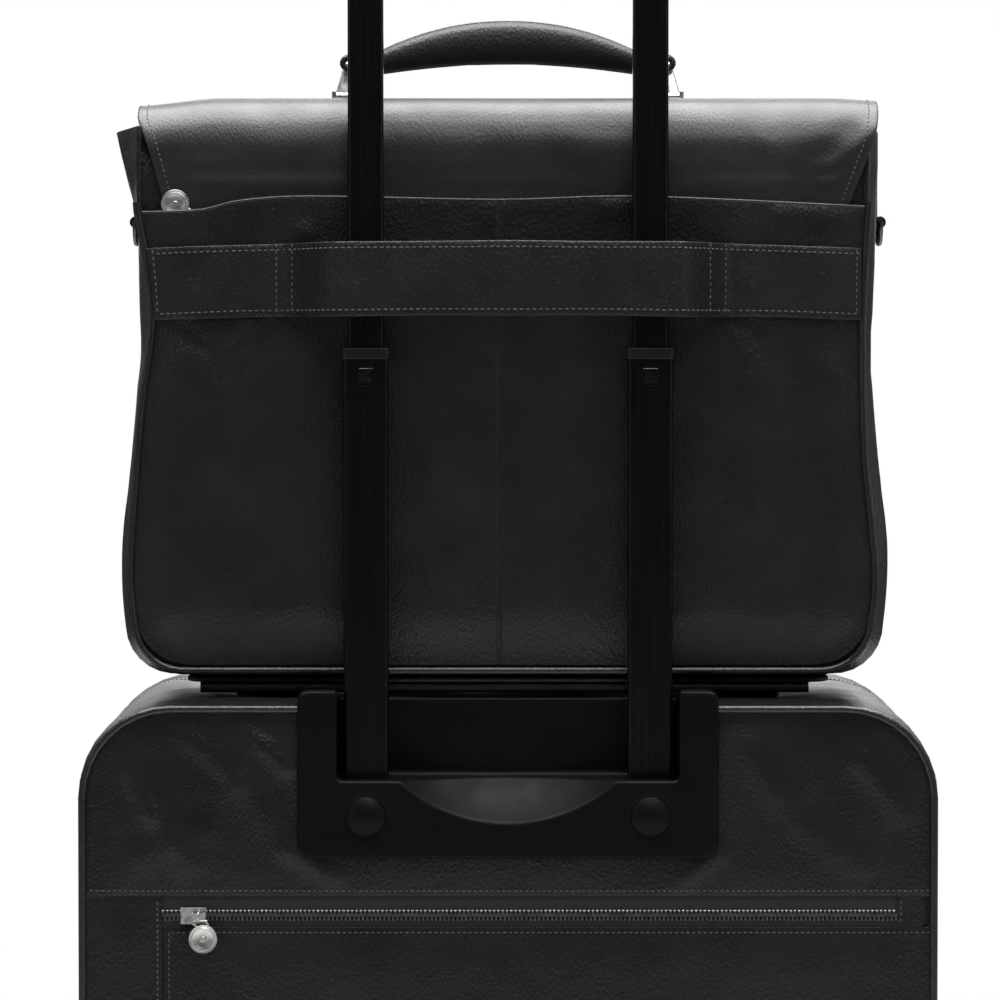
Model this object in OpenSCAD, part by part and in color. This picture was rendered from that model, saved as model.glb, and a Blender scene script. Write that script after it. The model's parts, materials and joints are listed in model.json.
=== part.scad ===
// Wheeled travel case with a telescoping handle, carrying a flap-over laptop briefcase whose
// strap is slipped over the handle tubes. Millimetres, +Z up. The origin is on the floor under
// the middle of the case. The handle side faces -Y and the lid faces +Y.

/* [Wheeled case] */
// Width of the case body
case_w = 484; // [420:1:560]
// Depth of the case body, lid included
case_d = 220; // [190:1:270]
// Height of the case body, without wheels
case_h = 350; // [330:1:430]
// Height of the body's underside above the floor
case_lift = 34; // [32:1:44]
// Radius of the two upper corners
case_top_r = 54; // [30:1:70]
// Radius of the two lower corners
case_low_r = 30; // [20:1:36]
// Thickness of the board and leather wall
case_wall = 3; // [2:0.5:5]
// Thickness of one layer of leather
leather_t = 1.6; // [1.2:0.1:2]
// Depth of the lid
lid_d = 26; // [22:1:32]
// Width of the zipper gap between case and lid
zip_gap = 6; // [5:0.5:8]
// Size of the piping around the panels
piping_w = 4.4; // [3:0.2:5]

/* [Telescoping handle] */
// Distance between the two tube centres
tube_pitch = 159; // [140:1:180]
// Width of the upper tubes
upper_w = 20; // [18:0.5:21]
// Depth of the upper tubes
upper_d = 10; // [9:0.5:11]
// Wall of every tube
tube_wall = 1.2; // [1:0.1:1.5]
// Thickness of the plastic glides between the tubes
glide_t = 1.1; // [0.8:0.1:1.6]
// Height of the grip
grip_h = 40; // [34:1:44]
// Depth of the grip
grip_d = 20; // [18:0.5:22]
// Travel of the release button
button_travel = 3; // [2:0.5:4]

/* [Handle housing] */
// Gap between a lower tube and the post beside it
recess_side = 3.5; // [3:0.5:8]
// Height of the housing below its recess
housing_base_h = 44; // [38:1:50]
// Depth of the recess below the top of the case
recess_drop = 44; // [40:1:50]
// Width of each upright post
post_w = 22; // [18:1:26]
// How far the housing stands proud of the back
housing_proud = 5; // [4:0.5:6]
// Radius of the thumb scoop's outline on the face
scoop_r = 91; // [80:1:100]

/* [Wheels and feet] */
// Radius of a wheel
wheel_r = 32; // [28:1:34]
// Width of a wheel's tyre
wheel_w = 22; // [18:1:26]
// Radius of a wheel axle
axle_r = 3; // [2.5:0.5:4]
// Outer radius of a wheel bearing
bearing_r = 8; // [7:0.5:9]
// Distance from the case's side to a wheel's middle
wheel_in = 38; // [34:1:60]
// Distance from the case's back to the axle
axle_in = 26; // [24:1:34]
// Distance from the case's side to a foot's middle
foot_in = 62; // [52:1:100]

/* [Briefcase] */
// Width of the briefcase
bag_w = 420; // [380:1:450]
// Depth of the briefcase without its front pocket
bag_d = 106; // [90:1:120]
// Height of the briefcase body
bag_h = 322; // [290:1:350]
// Depth of the front pocket
front_pocket_d = 19; // [14:1:24]
// Wall of the briefcase
bag_wall = 3; // [2:0.5:4]
// Radius of the briefcase's lower corners
bag_low_r = 28; // [20:1:40]
// Radius of the briefcase's upper corners
bag_top_r = 10; // [6:1:14]
// Width of the strap that holds the bag on the handle
strap_h = 44; // [36:1:52]
// Height of that strap's lower edge above the bag's bottom
strap_up = 203; // [180:1:215]
// How far the strap's loop flares out on each side of the grip
loop_flare = 27.5; // [24:0.5:34]
// Height of the back pocket's edge above the bag's bottom
slip_up = 268; // [262:1:275]
// Length of the flap's front part
flap_front_h = 212; // [180:1:230]
// Half the distance between the bag handle's links
link_x = 95; // [88:1:104]

/* [Hidden] */
$fn = 48;
arc_steps = 10;
gap = 0.3;
eps = 0.01;
fit = 0.05;

// Heights and faces of the wheeled case
case_top = case_lift + case_h;
back_y = -case_d / 2;
front_y = case_d / 2;
part_y = front_y - lid_d;
shell_front = part_y - zip_gap / 2;
lid_back = part_y + zip_gap / 2;
panel_back = back_y - leather_t;

// Back panels: the yoke above the zipper, the pocket below it
yoke_low = case_top - 109;
zip_h = 17;
pocket_top = yoke_low - zip_h;
kick_top = case_lift + 62;
side_panel_w = 44;
zip_x0 = -case_w / 2 + piping_w + side_panel_w + 1;
zip_x1 = case_w / 2 - piping_w - 21;
zip_z = yoke_low - zip_h / 2 - 2;
teeth_h = 5;
tape_t = 0.8;
teeth_t = 1.6;
end_patch_w = 16;

// Tubes across
glide_clear = 0.2;
nest = 2 * (tube_wall + glide_t + glide_clear);
lower_w = upper_w + nest;
lower_d = upper_d + nest;
guide_w = lower_w + nest;
guide_d = lower_d + nest;
tube_x = tube_pitch / 2;
tube_y = back_y + case_wall + 1 + guide_d / 2;
grip_y = tube_y - 1.5;

// Housing
housing_y = back_y - housing_proud;
recess_floor = case_top - recess_drop;
housing_low = recess_floor - housing_base_h;
housing_top = case_top + 6;
recess_half = tube_x + lower_w / 2 + recess_side;
housing_w = 2 * (recess_half + post_w);
recess_wall_y = grip_y + grip_d / 2 + 5.5;
housing_in_y = recess_wall_y + 3;

// Tubes along. Each travel is what the stage below leaves room for
glide_h = 10;
upper_glide_h = 24;
collar_h = 6;
collar_plug = 3;
collar_rim = 1;
tube_foot_h = 3;
guide_low = case_lift + case_wall + tube_foot_h;
lower_low = housing_low - glide_h - 1;
lower_travel = lower_low - guide_low - 10;
collar_cap_low = recess_floor + lower_travel;
collar_top = collar_cap_low + collar_h;
upper_glide_top = collar_cap_low - collar_plug - gap;
upper_low = upper_glide_top - upper_glide_h;
upper_travel = upper_low - lower_low - glide_h - 7.7;
grip_low = collar_top + upper_travel;
grip_top = grip_low + grip_h;
grip_half = recess_half - 2;
socket_h = 16;
window_w = 8;
window_h = 9.6;
window_z = collar_top - 16;
pin_out = 0.2;
button_w = 46;
button_d = grip_d - 9;
bar_room_low = grip_low + socket_h + 1;
bar_z = bar_room_low + 1 + button_travel + 0.6;
button_proud = 3.5;
rod_r = 1.5;
scoop_deep_r = 110;
scoop_drop = 24;
screw_r = 11;
screw_z = recess_floor - 20;

// Wheels, feet and base
wheel_x = case_w / 2 - wheel_in;
axle_y = back_y + axle_in;
well_r = wheel_r + 3;
well_half = wheel_w / 2 + 3;
cheek = 9;
wheel_box_x0 = wheel_x - well_half - cheek;
wheel_box_y1 = axle_y + well_r + 4;
wheel_box_top = wheel_r + well_r + 4;
foot_x = case_w / 2 - foot_in;
foot_y = front_y - 58;
foot_r = 14;
pad_h = 4;
base_t = 3;

// Carry handle of the case
carry_half = case_w / 2 - case_top_r - 38;
carry_w = 30;
carry_y = -6;
carry_mount_t = 2;
carry_t = 3;

// Briefcase
bag_low = case_top + 11;
bag_top = bag_low + bag_h;
slip_gap = 6;
grip_clear = 2.9;
bag_back = grip_y + grip_d / 2 + grip_clear + leather_t + slip_gap;
bag_front = bag_back + bag_d;
pocket_front = bag_front + front_pocket_d;
bag_mid_y = (bag_back + pocket_front) / 2;
slip_y = bag_back - slip_gap - leather_t;
slip_top = bag_low + slip_up;
slip_half = bag_w / 2 - piping_w - 3;
strap_low = bag_low + strap_up;
strap_t = 2.4;
strap_in_y = grip_y - grip_d / 2 - 3;
loop_shoulder = grip_half + 3;
loop_half = loop_shoulder + loop_flare;
base_h = 3;
gusset_top = bag_top - 14;
flap_t = 3.6;
flap_half = bag_w / 2 - 1;
flap_low_z = bag_top + 0.3;
flap_top_z = flap_low_z + flap_t;
flap_hinge_z = bag_top + 2;
flap_front_y = pocket_front + 1.6;
flap_sheet = 3;
fold_hinge_y = flap_front_y + flap_sheet / 2;
front_pocket_h = 200;
strap_x = bag_w / 4;
belt_w = 24;

// Zipper sliders and pulls
slider_x = zip_x0 + 17;
slider_y = back_y - tape_t - teeth_t - gap;
slider_l = 14;
slider_h = 9;
slider_t = 1.8;
bridge_x = 3;
bridge_half = 3.8;
bridge_w = 3.2;
bar_t = 1.2;
bar_out = 5.6;
eye_r = 3.3;
eye_w = 3;
pull_disc_r = 8;
pull_t = 1.5;
pull_drop = 12.5;
pull_side = 2.6;
main_slider_x = -case_w / 2 + case_top_r + 70;
main_pull_tilt = 13;
divider_t = 6;
divider_h = 240;
divider_y = bag_back + bag_wall + 13;

// Bag handle
pivot_y = bag_mid_y;
pivot_r = 1.6;
pivot_z = flap_top_z + 4.4;
link_w = 7;
link_top = pivot_z + 15;
crest_z = flap_top_z + 43;
belly_z = flap_top_z + 18;
handle_end_z = link_top + 2;
handle_t = 21;

// Side rings for a shoulder strap
ring_bar_r = 1.6;
ring_r = 12;
ring_z = bag_low + 258;
ring_x = bag_w / 2 + 4.6;
ring_loop_r = 3.4;
ring_tab_w = 18;

// ---------- helpers ----------

// Points of a quarter turn about [cx, cy], starting at angle a0
function quarter(cx, cy, r, a0) =
    [for (k = [0 : arc_steps]) [
        cx + r * cos(a0 + 90 * k / arc_steps),
        cy + r * sin(a0 + 90 * k / arc_steps)
    ]];

// A rectangle of width w from z0 to z1 with its own upper and lower corner radii, inset by i
function rounded(w, z0, z1, r_top, r_low, i = 0) = concat(
    quarter(w / 2 - r_low, z0 + r_low, r_low - i, 270),
    quarter(w / 2 - r_top, z1 - r_top, r_top - i, 0),
    quarter(-w / 2 + r_top, z1 - r_top, r_top - i, 90),
    quarter(-w / 2 + r_low, z0 + r_low, r_low - i, 180)
);

// Stands a flat outline up in the XZ plane between y0 and y1
module slab(y0, y1) {
    translate([0, y1, 0])
        rotate([90, 0, 0])
            linear_extrude(y1 - y0) children();
}

module box(x0, x1, y0, y1, z0, z1) {
    translate([x0, y0, z0])
        cube([x1 - x0, y1 - y0, z1 - z0]);
}

// A box mirrored to both sides of the middle
module box_pair(x0, x1, y0, y1, z0, z1) {
    for (s = [-1, 1])
        scale_side(s) box(x0, x1, y0, y1, z0, z1);
}

module scale_side(s) {
    if (s < 0)
        mirror([1, 0, 0]) children();
    else
        children();
}

// An upright block w by d with rounded corners, centred on [x, y]
module post(x, y, w, d, r, z0, z1) {
    translate([x, y, z0])
        linear_extrude(z1 - z0)
            polygon(rounded(w, -d / 2, d / 2, r, r));
}

module rod_x(x0, x1, y, z, r) {
    translate([x0, y, z])
        rotate([0, 90, 0])
            cylinder(h = x1 - x0, r = r);
}

module rod_y(x, y0, y1, z, r) {
    translate([x, y1, z])
        rotate([90, 0, 0])
            cylinder(h = y1 - y0, r = r);
}

module case_outline(i = 0) {
    polygon(rounded(case_w, case_lift, case_top, case_top_r, case_low_r, i));
}

module bag_outline(i = 0) {
    polygon(rounded(bag_w, bag_low, bag_top, bag_top_r, bag_low_r, i));
}

// Room that the handle housing takes out of the case
module housing_room(c = 0) {
    box(-housing_w / 2 - c, housing_w / 2 + c, housing_y - 1, housing_in_y + c,
        housing_low - c, case_top + 20);
}

// Room that one wheel housing takes out of the case
module wheel_room(c = 0) {
    box(wheel_box_x0 - c, case_w / 2 + 20, back_y - 20, wheel_box_y1 + c,
        case_lift - 1, wheel_box_top + c);
}

// ---------- wheeled case ----------

module case_shell() {
    color([0.09, 0.09, 0.09])
        difference() {
            slab(back_y, shell_front) case_outline();
            slab(back_y + case_wall, shell_front + 1) case_outline(case_wall);
            housing_room(0.2);
            for (s = [-1, 1])
                scale_side(s) wheel_room(0.2);
        }
}

module inner_back_panel() {
    color([0.2, 0.2, 0.21])
        difference() {
            slab(housing_in_y + 2, housing_in_y + 4) case_outline(case_wall + 0.4);
            for (s = [-1, 1])
                scale_side(s) wheel_room(0.4);
        }
}

module back_yoke() {
    color([0.1, 0.1, 0.1])
        difference() {
            slab(panel_back, back_y) case_outline(piping_w + 0.3);
            housing_room(0.2);
            box(-case_w, case_w, panel_back - 1, back_y + 1, 0, yoke_low);
        }
}

// The narrow panel beside the pocket, and the patch that closes the zipper's far end
module back_side_panel() {
    color([0.08, 0.08, 0.08]) {
        intersection() {
            slab(panel_back, back_y) case_outline(piping_w + 0.3);
            box(-case_w / 2, zip_x0 - 0.2, panel_back - 1, back_y + 1,
                wheel_box_top + 0.4, yoke_low - 0.2);
        }
        box(zip_x1 + 0.2, zip_x1 + end_patch_w, panel_back, back_y,
            pocket_top + 0.2, yoke_low - 0.2);
    }
}

module back_pocket_panel() {
    color([0.09, 0.09, 0.09])
        intersection() {
            slab(panel_back, back_y) case_outline(piping_w + 0.3);
            box(zip_x0, case_w / 2, panel_back - 1, back_y + 1,
                kick_top + 0.3, pocket_top);
        }
}

// Tape sewn under both panels, with the row of closed teeth along it
module rear_zip_chain() {
    color([0.35, 0.35, 0.36]) {
        box(zip_x0, zip_x1, back_y - tape_t, back_y, pocket_top + 0.2, yoke_low - 0.2);
        box(zip_x0 + 4, zip_x1 - 2, back_y - tape_t - teeth_t, back_y - tape_t,
            zip_z - teeth_h / 2, zip_z + teeth_h / 2);
    }
}

// A zipper's slider lying flat, with a bridge for its pull. It runs along X
module zip_slider() {
    difference() {
        union() {
            box(-slider_l / 2, slider_l / 2, -slider_h / 2, slider_h / 2, 0, slider_t);
            box(bridge_x - bridge_half, bridge_x + bridge_half, -bridge_w / 2, bridge_w / 2,
                slider_t, bar_out + bar_t / 2);
        }
        box(bridge_x - bridge_half + bar_t, bridge_x + bridge_half - bar_t, -bridge_w,
            bridge_w, slider_t, bar_out - bar_t / 2);
    }
}

// A round disc on a short neck, with an eye that turns round the slider's bridge
module zip_pull(tilt) {
    translate([bridge_x, 0, bar_out])
        rotate([tilt, 0, 0]) {
            difference() {
                rod_x(-eye_w / 2, eye_w / 2, 0, 0, eye_r);
                rod_x(-eye_w, eye_w, 0, 0, eye_r - bar_t);
            }
            box(-eye_w / 2, eye_w / 2, -7, -eye_r + 0.4, -pull_t / 2, pull_t / 2);
            translate([pull_side, -pull_drop, -pull_t / 2])
                cylinder(h = pull_t, r = pull_disc_r);
        }
}

module rear_zip_slider() {
    color([0.75, 0.75, 0.74])
        translate([slider_x, slider_y, zip_z])
            rotate([90, 0, 0]) zip_slider();
}

module rear_zip_pull() {
    color([0.72, 0.72, 0.7])
        translate([slider_x, slider_y, zip_z])
            rotate([90, 0, 0]) zip_pull(0);
}

// Bead around a panel's edge, as a flat ring
module case_ring(y0, y1) {
    slab(y0, y1)
        difference() {
            case_outline();
            case_outline(piping_w);
        }
}

module back_piping() {
    color([0.07, 0.07, 0.07])
        difference() {
            case_ring(back_y - piping_w, back_y);
            housing_room(0.2);
            for (s = [-1, 1])
                scale_side(s) wheel_room(0.2);
            box(-wheel_box_x0, wheel_box_x0, back_y - 10, back_y + 1, 0, kick_top);
        }
}

// Post outline of the housing: a U around the recess
module handle_housing() {
    color([0.05, 0.05, 0.05])
        difference() {
            slab(housing_y, housing_in_y)
                polygon(rounded(housing_w, housing_low, housing_top, 5, 8));
            box(-recess_half, recess_half, housing_y - 1, recess_wall_y,
                recess_floor, housing_top + 1);
            box(-housing_w, housing_w, back_y + 12, housing_in_y + 1, case_top, housing_top + 1);
            intersection() {
                translate([0, housing_y - sqrt(pow(scoop_deep_r, 2) - pow(scoop_r, 2)),
                    recess_floor + scoop_r - scoop_drop])
                    sphere(r = scoop_deep_r, $fn = 96);
                box(-recess_half, recess_half, housing_y - 1, recess_wall_y - 2,
                    recess_floor - scoop_drop - 1, recess_floor + 1);
            }
            for (s = [-1, 1]) {
                post(s * tube_x, tube_y, lower_w + 2 * glide_clear, lower_d + 2 * glide_clear,
                    2.2, housing_low - 1, recess_floor + 1);
                rod_y(s * tube_x, housing_y - 1, housing_y + 2, screw_z, screw_r);
            }
        }
}

// Domed covers of the housing's two screws, as ball caps
module housing_screws() {
    color([0.06, 0.06, 0.06])
        for (s = [-1, 1])
            intersection() {
                rod_y(s * tube_x, housing_y - 4, housing_y + 2, screw_z, screw_r);
                translate([s * tube_x, housing_y + 16, screw_z])
                    sphere(r = 19.2, $fn = 64);
            }
}

// A rectangular tube with rounded corners
module tube(x, w, d, z0, z1) {
    difference() {
        post(x, tube_y, w, d, 2, z0, z1);
        post(x, tube_y, w - 2 * tube_wall, d - 2 * tube_wall, 0.8, z0 - 1, z1 + 1);
    }
}

module guide_tubes() {
    color([0.6, 0.6, 0.62])
        for (s = [-1, 1])
            tube(s * tube_x, guide_w, guide_d, guide_low, housing_low - gap);
}

module tube_foot() {
    color([0.06, 0.06, 0.06]) {
        box(-tube_x - guide_w / 2 - 6, tube_x + guide_w / 2 + 6, back_y + case_wall + 0.2,
            tube_y + guide_d / 2 + 1, case_lift + case_wall, guide_low);
        for (s = [-1, 1])
            post(s * tube_x, tube_y, guide_w - 2 * tube_wall - 0.4,
                guide_d - 2 * tube_wall - 0.4, 0.8, guide_low, guide_low + 2);
    }
}

// Moulded plate under the case that turns up the back, with two skid ribs
module base_plate() {
    color([0.05, 0.05, 0.05]) {
        box(-wheel_box_x0 + 1, wheel_box_x0 - 1, back_y, wheel_box_y1, case_lift - base_t,
            case_lift);
        box(-case_w / 2 + case_low_r, case_w / 2 - case_low_r, wheel_box_y1, shell_front - 4,
            case_lift - base_t, case_lift);
        box(-wheel_box_x0 + 1, wheel_box_x0 - 1, panel_back - 1, back_y,
            case_lift - base_t, kick_top);
        box_pair(96, 108, panel_back - 5, panel_back - 1, case_lift + 4, kick_top - 4);
    }
}

module wheel_housings() {
    color([0.05, 0.05, 0.05])
        for (s = [-1, 1])
            scale_side(s)
                difference() {
                    intersection() {
                        wheel_room();
                        slab(back_y, wheel_box_y1) case_outline();
                    }
                    rod_x(wheel_x - well_half, wheel_x + well_half, axle_y, wheel_r, well_r);
                    box(wheel_x - well_half, wheel_x + well_half, axle_y - well_r,
                        axle_y + well_r, 0, wheel_r);
                    box(wheel_x - well_half, wheel_x + well_half, back_y - 1, axle_y, 0,
                        wheel_r + well_r);
                    box(wheel_x - well_half - 6, wheel_x + well_half + 6, axle_y - 12,
                        axle_y + 12, 0, wheel_r + 6);
                }
}

// Axle with a flat carrier at each end that is screwed up into the housing
module wheel_axles() {
    color([0.62, 0.62, 0.63])
        for (s = [-1, 1])
            scale_side(s) {
                rod_x(wheel_x - well_half - 1, wheel_x + well_half + 1, axle_y, wheel_r,
                    axle_r);
                for (e = [-1, 1])
                    translate([wheel_x + e * (well_half + 2.5), 0, 0])
                        box(-2.3, 2.3, axle_y - 7, axle_y + 7, wheel_r - 5, wheel_r + 6);
            }
}

module wheel_bearings() {
    color([0.7, 0.7, 0.71])
        for (s = [-1, 1], e = [-1, 1])
            scale_side(s)
                difference() {
                    rod_x(wheel_x + e * 6 - 2.5, wheel_x + e * 6 + 2.5, axle_y, wheel_r,
                        bearing_r);
                    rod_x(wheel_x + e * 6 - 3, wheel_x + e * 6 + 3, axle_y, wheel_r,
                        axle_r + eps);
                }
}

hub_r = wheel_r - 9;
hub_hole_at = (hub_r + bearing_r) / 2;
hub_hole_r = (hub_r - bearing_r) / 2 - 3.9;

module wheel_tyre(s) {
    color([0.12, 0.12, 0.12])
        scale_side(s)
            translate([wheel_x, axle_y, wheel_r])
                rotate([0, 90, 0])
                    rotate_extrude($fn = 96)
                        translate([hub_r, 0])
                            polygon(concat(
                                [[0, -wheel_w / 2], [6, -wheel_w / 2]],
                                [[9, -wheel_w / 2 + 4], [9, wheel_w / 2 - 4]],
                                [[6, wheel_w / 2], [0, wheel_w / 2]]));
}

module wheel_hub(s) {
    color([0.3, 0.3, 0.31])
        scale_side(s)
            translate([wheel_x, axle_y, wheel_r])
                rotate([0, 90, 0])
                    difference() {
                        cylinder(h = wheel_w - 2, r = hub_r, center = true, $fn = 96);
                        cylinder(h = wheel_w, r = bearing_r + fit, center = true);
                        for (k = [0 : 4])
                            rotate([0, 0, k * 72])
                                translate([hub_hole_at, 0, 0])
                                    cylinder(h = wheel_w, r = hub_hole_r, center = true);
                    }
}

module front_feet() {
    color([0.05, 0.05, 0.05])
        for (s = [-1, 1])
            translate([s * foot_x, foot_y, 0])
                rotate_extrude($fn = 64)
                    polygon([[0, 0], [foot_r - 2, 0], [foot_r - 1, 1.5], [foot_r - 1, pad_h],
                        [foot_r, pad_h + 1], [foot_r + 4, case_lift - base_t],
                        [0, case_lift - base_t]]);
}

// Half of the main zipper: a thin band in the wall's thickness
module zip_band(y0, y1) {
    slab(y0, y1)
        difference() {
            case_outline(0.7);
            case_outline(case_wall - 0.6);
        }
}

module main_zip_case_half() {
    color([0.3, 0.3, 0.3])
        zip_band(shell_front, part_y - 0.2);
}

module main_zip_lid_half() {
    color([0.3, 0.3, 0.3])
        zip_band(part_y + 0.2, lid_back);
}

// Slider of the main zipper, above the gap at the top, with its pull lying back on the case
module main_zip_slider() {
    color([0.72, 0.72, 0.7])
        translate([main_slider_x, part_y, case_top + gap]) zip_slider();
}

module main_zip_pull() {
    color([0.72, 0.72, 0.7])
        translate([main_slider_x, part_y, case_top + gap]) zip_pull(main_pull_tilt);
}

module lid_shell() {
    color([0.09, 0.09, 0.09])
        difference() {
            slab(lid_back, front_y) case_outline();
            slab(lid_back - 1, front_y - case_wall) case_outline(case_wall);
        }
}

module lid_piping() {
    color([0.07, 0.07, 0.07])
        case_ring(front_y, front_y + piping_w);
}

module lid_pocket_panel() {
    color([0.1, 0.1, 0.1])
        slab(front_y, front_y + 6)
            polygon(rounded(case_w - 92, case_lift + 34, case_top - 96, 14, 26));
}

// Flat leather strip handle, pressed down under the bag
module carry_handle() {
    color([0.08, 0.08, 0.08])
        translate([0, carry_y, case_top + 3.4])
            linear_extrude(carry_t)
                polygon(rounded(2 * carry_half - 38, -carry_w / 2, carry_w / 2, 6, 6));
}

// A patch at each end of the carry handle, with the keeper the handle is sewn through
module carry_handle_mounts() {
    color([0.07, 0.07, 0.07])
        for (s = [-1, 1])
            scale_side(s)
                difference() {
                    box(carry_half - 42, carry_half + 6, carry_y - 21, carry_y + 21,
                        case_top, case_top + 8);
                    box(carry_half - 43, carry_half + 1, carry_y - 15.4, carry_y + 15.4,
                        case_top + 3, case_top + 6.8);
                    box(carry_half - 43, carry_half - 18, carry_y - 30, carry_y + 30,
                        case_top + 3, case_top + 9);
                }
}

// ---------- telescoping handle ----------

// Shallow grooves down the two wide faces of a tube
module grooved_tube(x, w, d, z0, z1, grooves) {
    pitch = (w - 7) / grooves;
    difference() {
        tube(x, w, d, z0, z1);
        for (k = [0 : grooves - 1], f = [-1, 1])
            translate([x - w / 2 + 3.5 + (k + 0.5) * pitch, tube_y + f * (d / 2), 0])
                box(-0.35, 0.35, -0.3, 0.3, z0 - 1, z1 + 1);
    }
}

module lower_tubes() {
    color([0.07, 0.07, 0.07])
        difference() {
            for (s = [-1, 1])
                grooved_tube(s * tube_x, lower_w, lower_d, lower_low, collar_cap_low, 8);
            for (s = [-1, 1])
                box(s * tube_x - window_w / 2, s * tube_x + window_w / 2,
                    tube_y - lower_d / 2 - 1, tube_y - lower_d / 2 + tube_wall + 0.1,
                    window_z - window_h / 2, window_z + window_h / 2);
        }
}

module lower_collars() {
    color([0.05, 0.05, 0.05])
        for (s = [-1, 1])
            difference() {
                union() {
                    post(s * tube_x, tube_y, lower_w + 2 * collar_rim, lower_d + 2 * collar_rim,
                        3, collar_cap_low, collar_top);
                    post(s * tube_x, tube_y, lower_w - 2 * tube_wall, lower_d - 2 * tube_wall,
                        0.8, collar_cap_low - collar_plug, collar_cap_low);
                }
                post(s * tube_x, tube_y, upper_w + 2 * glide_clear, upper_d + 2 * glide_clear,
                    2.2, collar_cap_low - collar_plug - 1, collar_top + 1);
            }
}

module lower_glides() {
    color([0.85, 0.85, 0.83])
        for (s = [-1, 1])
            difference() {
                post(s * tube_x, tube_y, guide_w - 2 * tube_wall - 2 * glide_clear,
                    guide_d - 2 * tube_wall - 2 * glide_clear, 1, lower_low,
                    lower_low + glide_h);
                post(s * tube_x, tube_y, lower_w, lower_d, 2, lower_low - 1,
                    lower_low + glide_h + 1);
            }
}

module upper_tubes() {
    color([0.06, 0.06, 0.06])
        difference() {
            for (s = [-1, 1])
                grooved_tube(s * tube_x, upper_w, upper_d, upper_low, grip_low + socket_h, 7);
            for (s = [-1, 1])
                box(s * tube_x - 4, s * tube_x + 4, tube_y - upper_d, tube_y,
                    window_z - 4.5 - button_travel, window_z + 4.5);
        }
}

module upper_glides() {
    color([0.85, 0.85, 0.83])
        for (s = [-1, 1])
            difference() {
                post(s * tube_x, tube_y, lower_w - 2 * tube_wall - 2 * glide_clear,
                    lower_d - 2 * tube_wall - 2 * glide_clear, 1, upper_low, upper_glide_top);
                post(s * tube_x, tube_y, upper_w, upper_d, 2, upper_low - 1,
                    upper_glide_top + 1);
                box(s * tube_x - 4, s * tube_x + 4, tube_y - lower_d, tube_y,
                    window_z - 4.5 - button_travel, window_z + 4.5);
            }
}

module grip() {
    grip_r = 12;
    color([0.05, 0.05, 0.05])
        difference() {
            slab(grip_y - grip_d / 2, grip_y + grip_d / 2)
                difference() {
                    polygon(rounded(2 * grip_half, grip_low, grip_top, grip_r, 3));
                    polygon(rounded(112, grip_low - 30, grip_low + 12, 11, 11));
                }
            for (s = [-1, 1]) {
                post(s * tube_x, tube_y, upper_w, upper_d, 2, grip_low - 1,
                    grip_low + socket_h);
                post(s * tube_x, tube_y, rod_r * 2 + 2, rod_r * 2 + 2, 1,
                    grip_low, grip_low + socket_h + 7);
            }
            post(0, grip_y, button_w + 0.6, button_d + 0.6, 4, bar_room_low, grip_top + 1);
            box(-tube_x - rod_r - 1, tube_x + rod_r + 1, tube_y - 2.6, tube_y + 2.6,
                bar_room_low, bar_z + 3.4);
        }
}

module release_button() {
    color([0.16, 0.16, 0.16])
        post(0, grip_y, button_w, button_d, 3.7, bar_z + 1.9, grip_top + button_proud);
}

// Cross bar under the button, with a rod down each upper tube to the catch behind its window
module release_rods() {
    color([0.6, 0.6, 0.62]) {
        box(-tube_x, tube_x, tube_y - rod_r, tube_y + rod_r, bar_z - 1, bar_z + 1.8);
        for (s = [-1, 1]) {
            translate([s * tube_x, tube_y, window_z - 4])
                cylinder(h = bar_z - 1 - window_z + 4, r = rod_r);
            box(s * tube_x - 3.7, s * tube_x + 3.7,
                tube_y - lower_d / 2 + tube_wall + pin_out, tube_y,
                window_z - 4.2, window_z + 4.2);
        }
    }
}

// ---------- briefcase ----------

module bag_back_panel() {
    color([0.1, 0.1, 0.1])
        slab(bag_back, bag_back + bag_wall) bag_outline();
}

module bag_gusset() {
    color([0.08, 0.08, 0.08])
        difference() {
            slab(bag_back + bag_wall, bag_front - bag_wall) bag_outline();
            slab(bag_back, bag_front) bag_outline(bag_wall);
            box(-bag_w, bag_w, bag_back - 1, bag_front + 1, gusset_top, bag_top + 10);
        }
}

module bag_front_panel() {
    color([0.1, 0.1, 0.1])
        intersection() {
            slab(bag_front - bag_wall, bag_front) bag_outline();
            box(-bag_w, bag_w, bag_front - 10, bag_front + 10, 0, gusset_top);
        }
}

// Box pocket on the front, open at its top
module bag_front_pocket() {
    color([0.1, 0.1, 0.1])
        difference() {
            slab(bag_front, pocket_front)
                polygon(rounded(bag_w - 30, bag_low + 8, bag_low + front_pocket_h, 4, 24));
            slab(bag_front - 1, pocket_front - 2.4)
                polygon(rounded(bag_w - 35, bag_low + 10.5, bag_low + front_pocket_h + 20, 4, 22));
        }
}

module bag_base() {
    color([0.06, 0.06, 0.06])
        box(-bag_w / 2 + bag_low_r, bag_w / 2 - bag_low_r, bag_back + 1, bag_front - 1,
            bag_low - base_h, bag_low);
}

// A bead around one face of the bag: down one side, along the bottom and up the other
module bag_bead(y0, y1) {
    slab(y0, y1)
        difference() {
            bag_outline();
            bag_outline(piping_w);
            translate([-bag_w, gusset_top - 40])
                square([2 * bag_w, 100]);
        }
}

module bag_piping() {
    color([0.07, 0.07, 0.07]) {
        bag_bead(bag_back - piping_w, bag_back);
        bag_bead(bag_front, bag_front + piping_w);
    }
}

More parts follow.
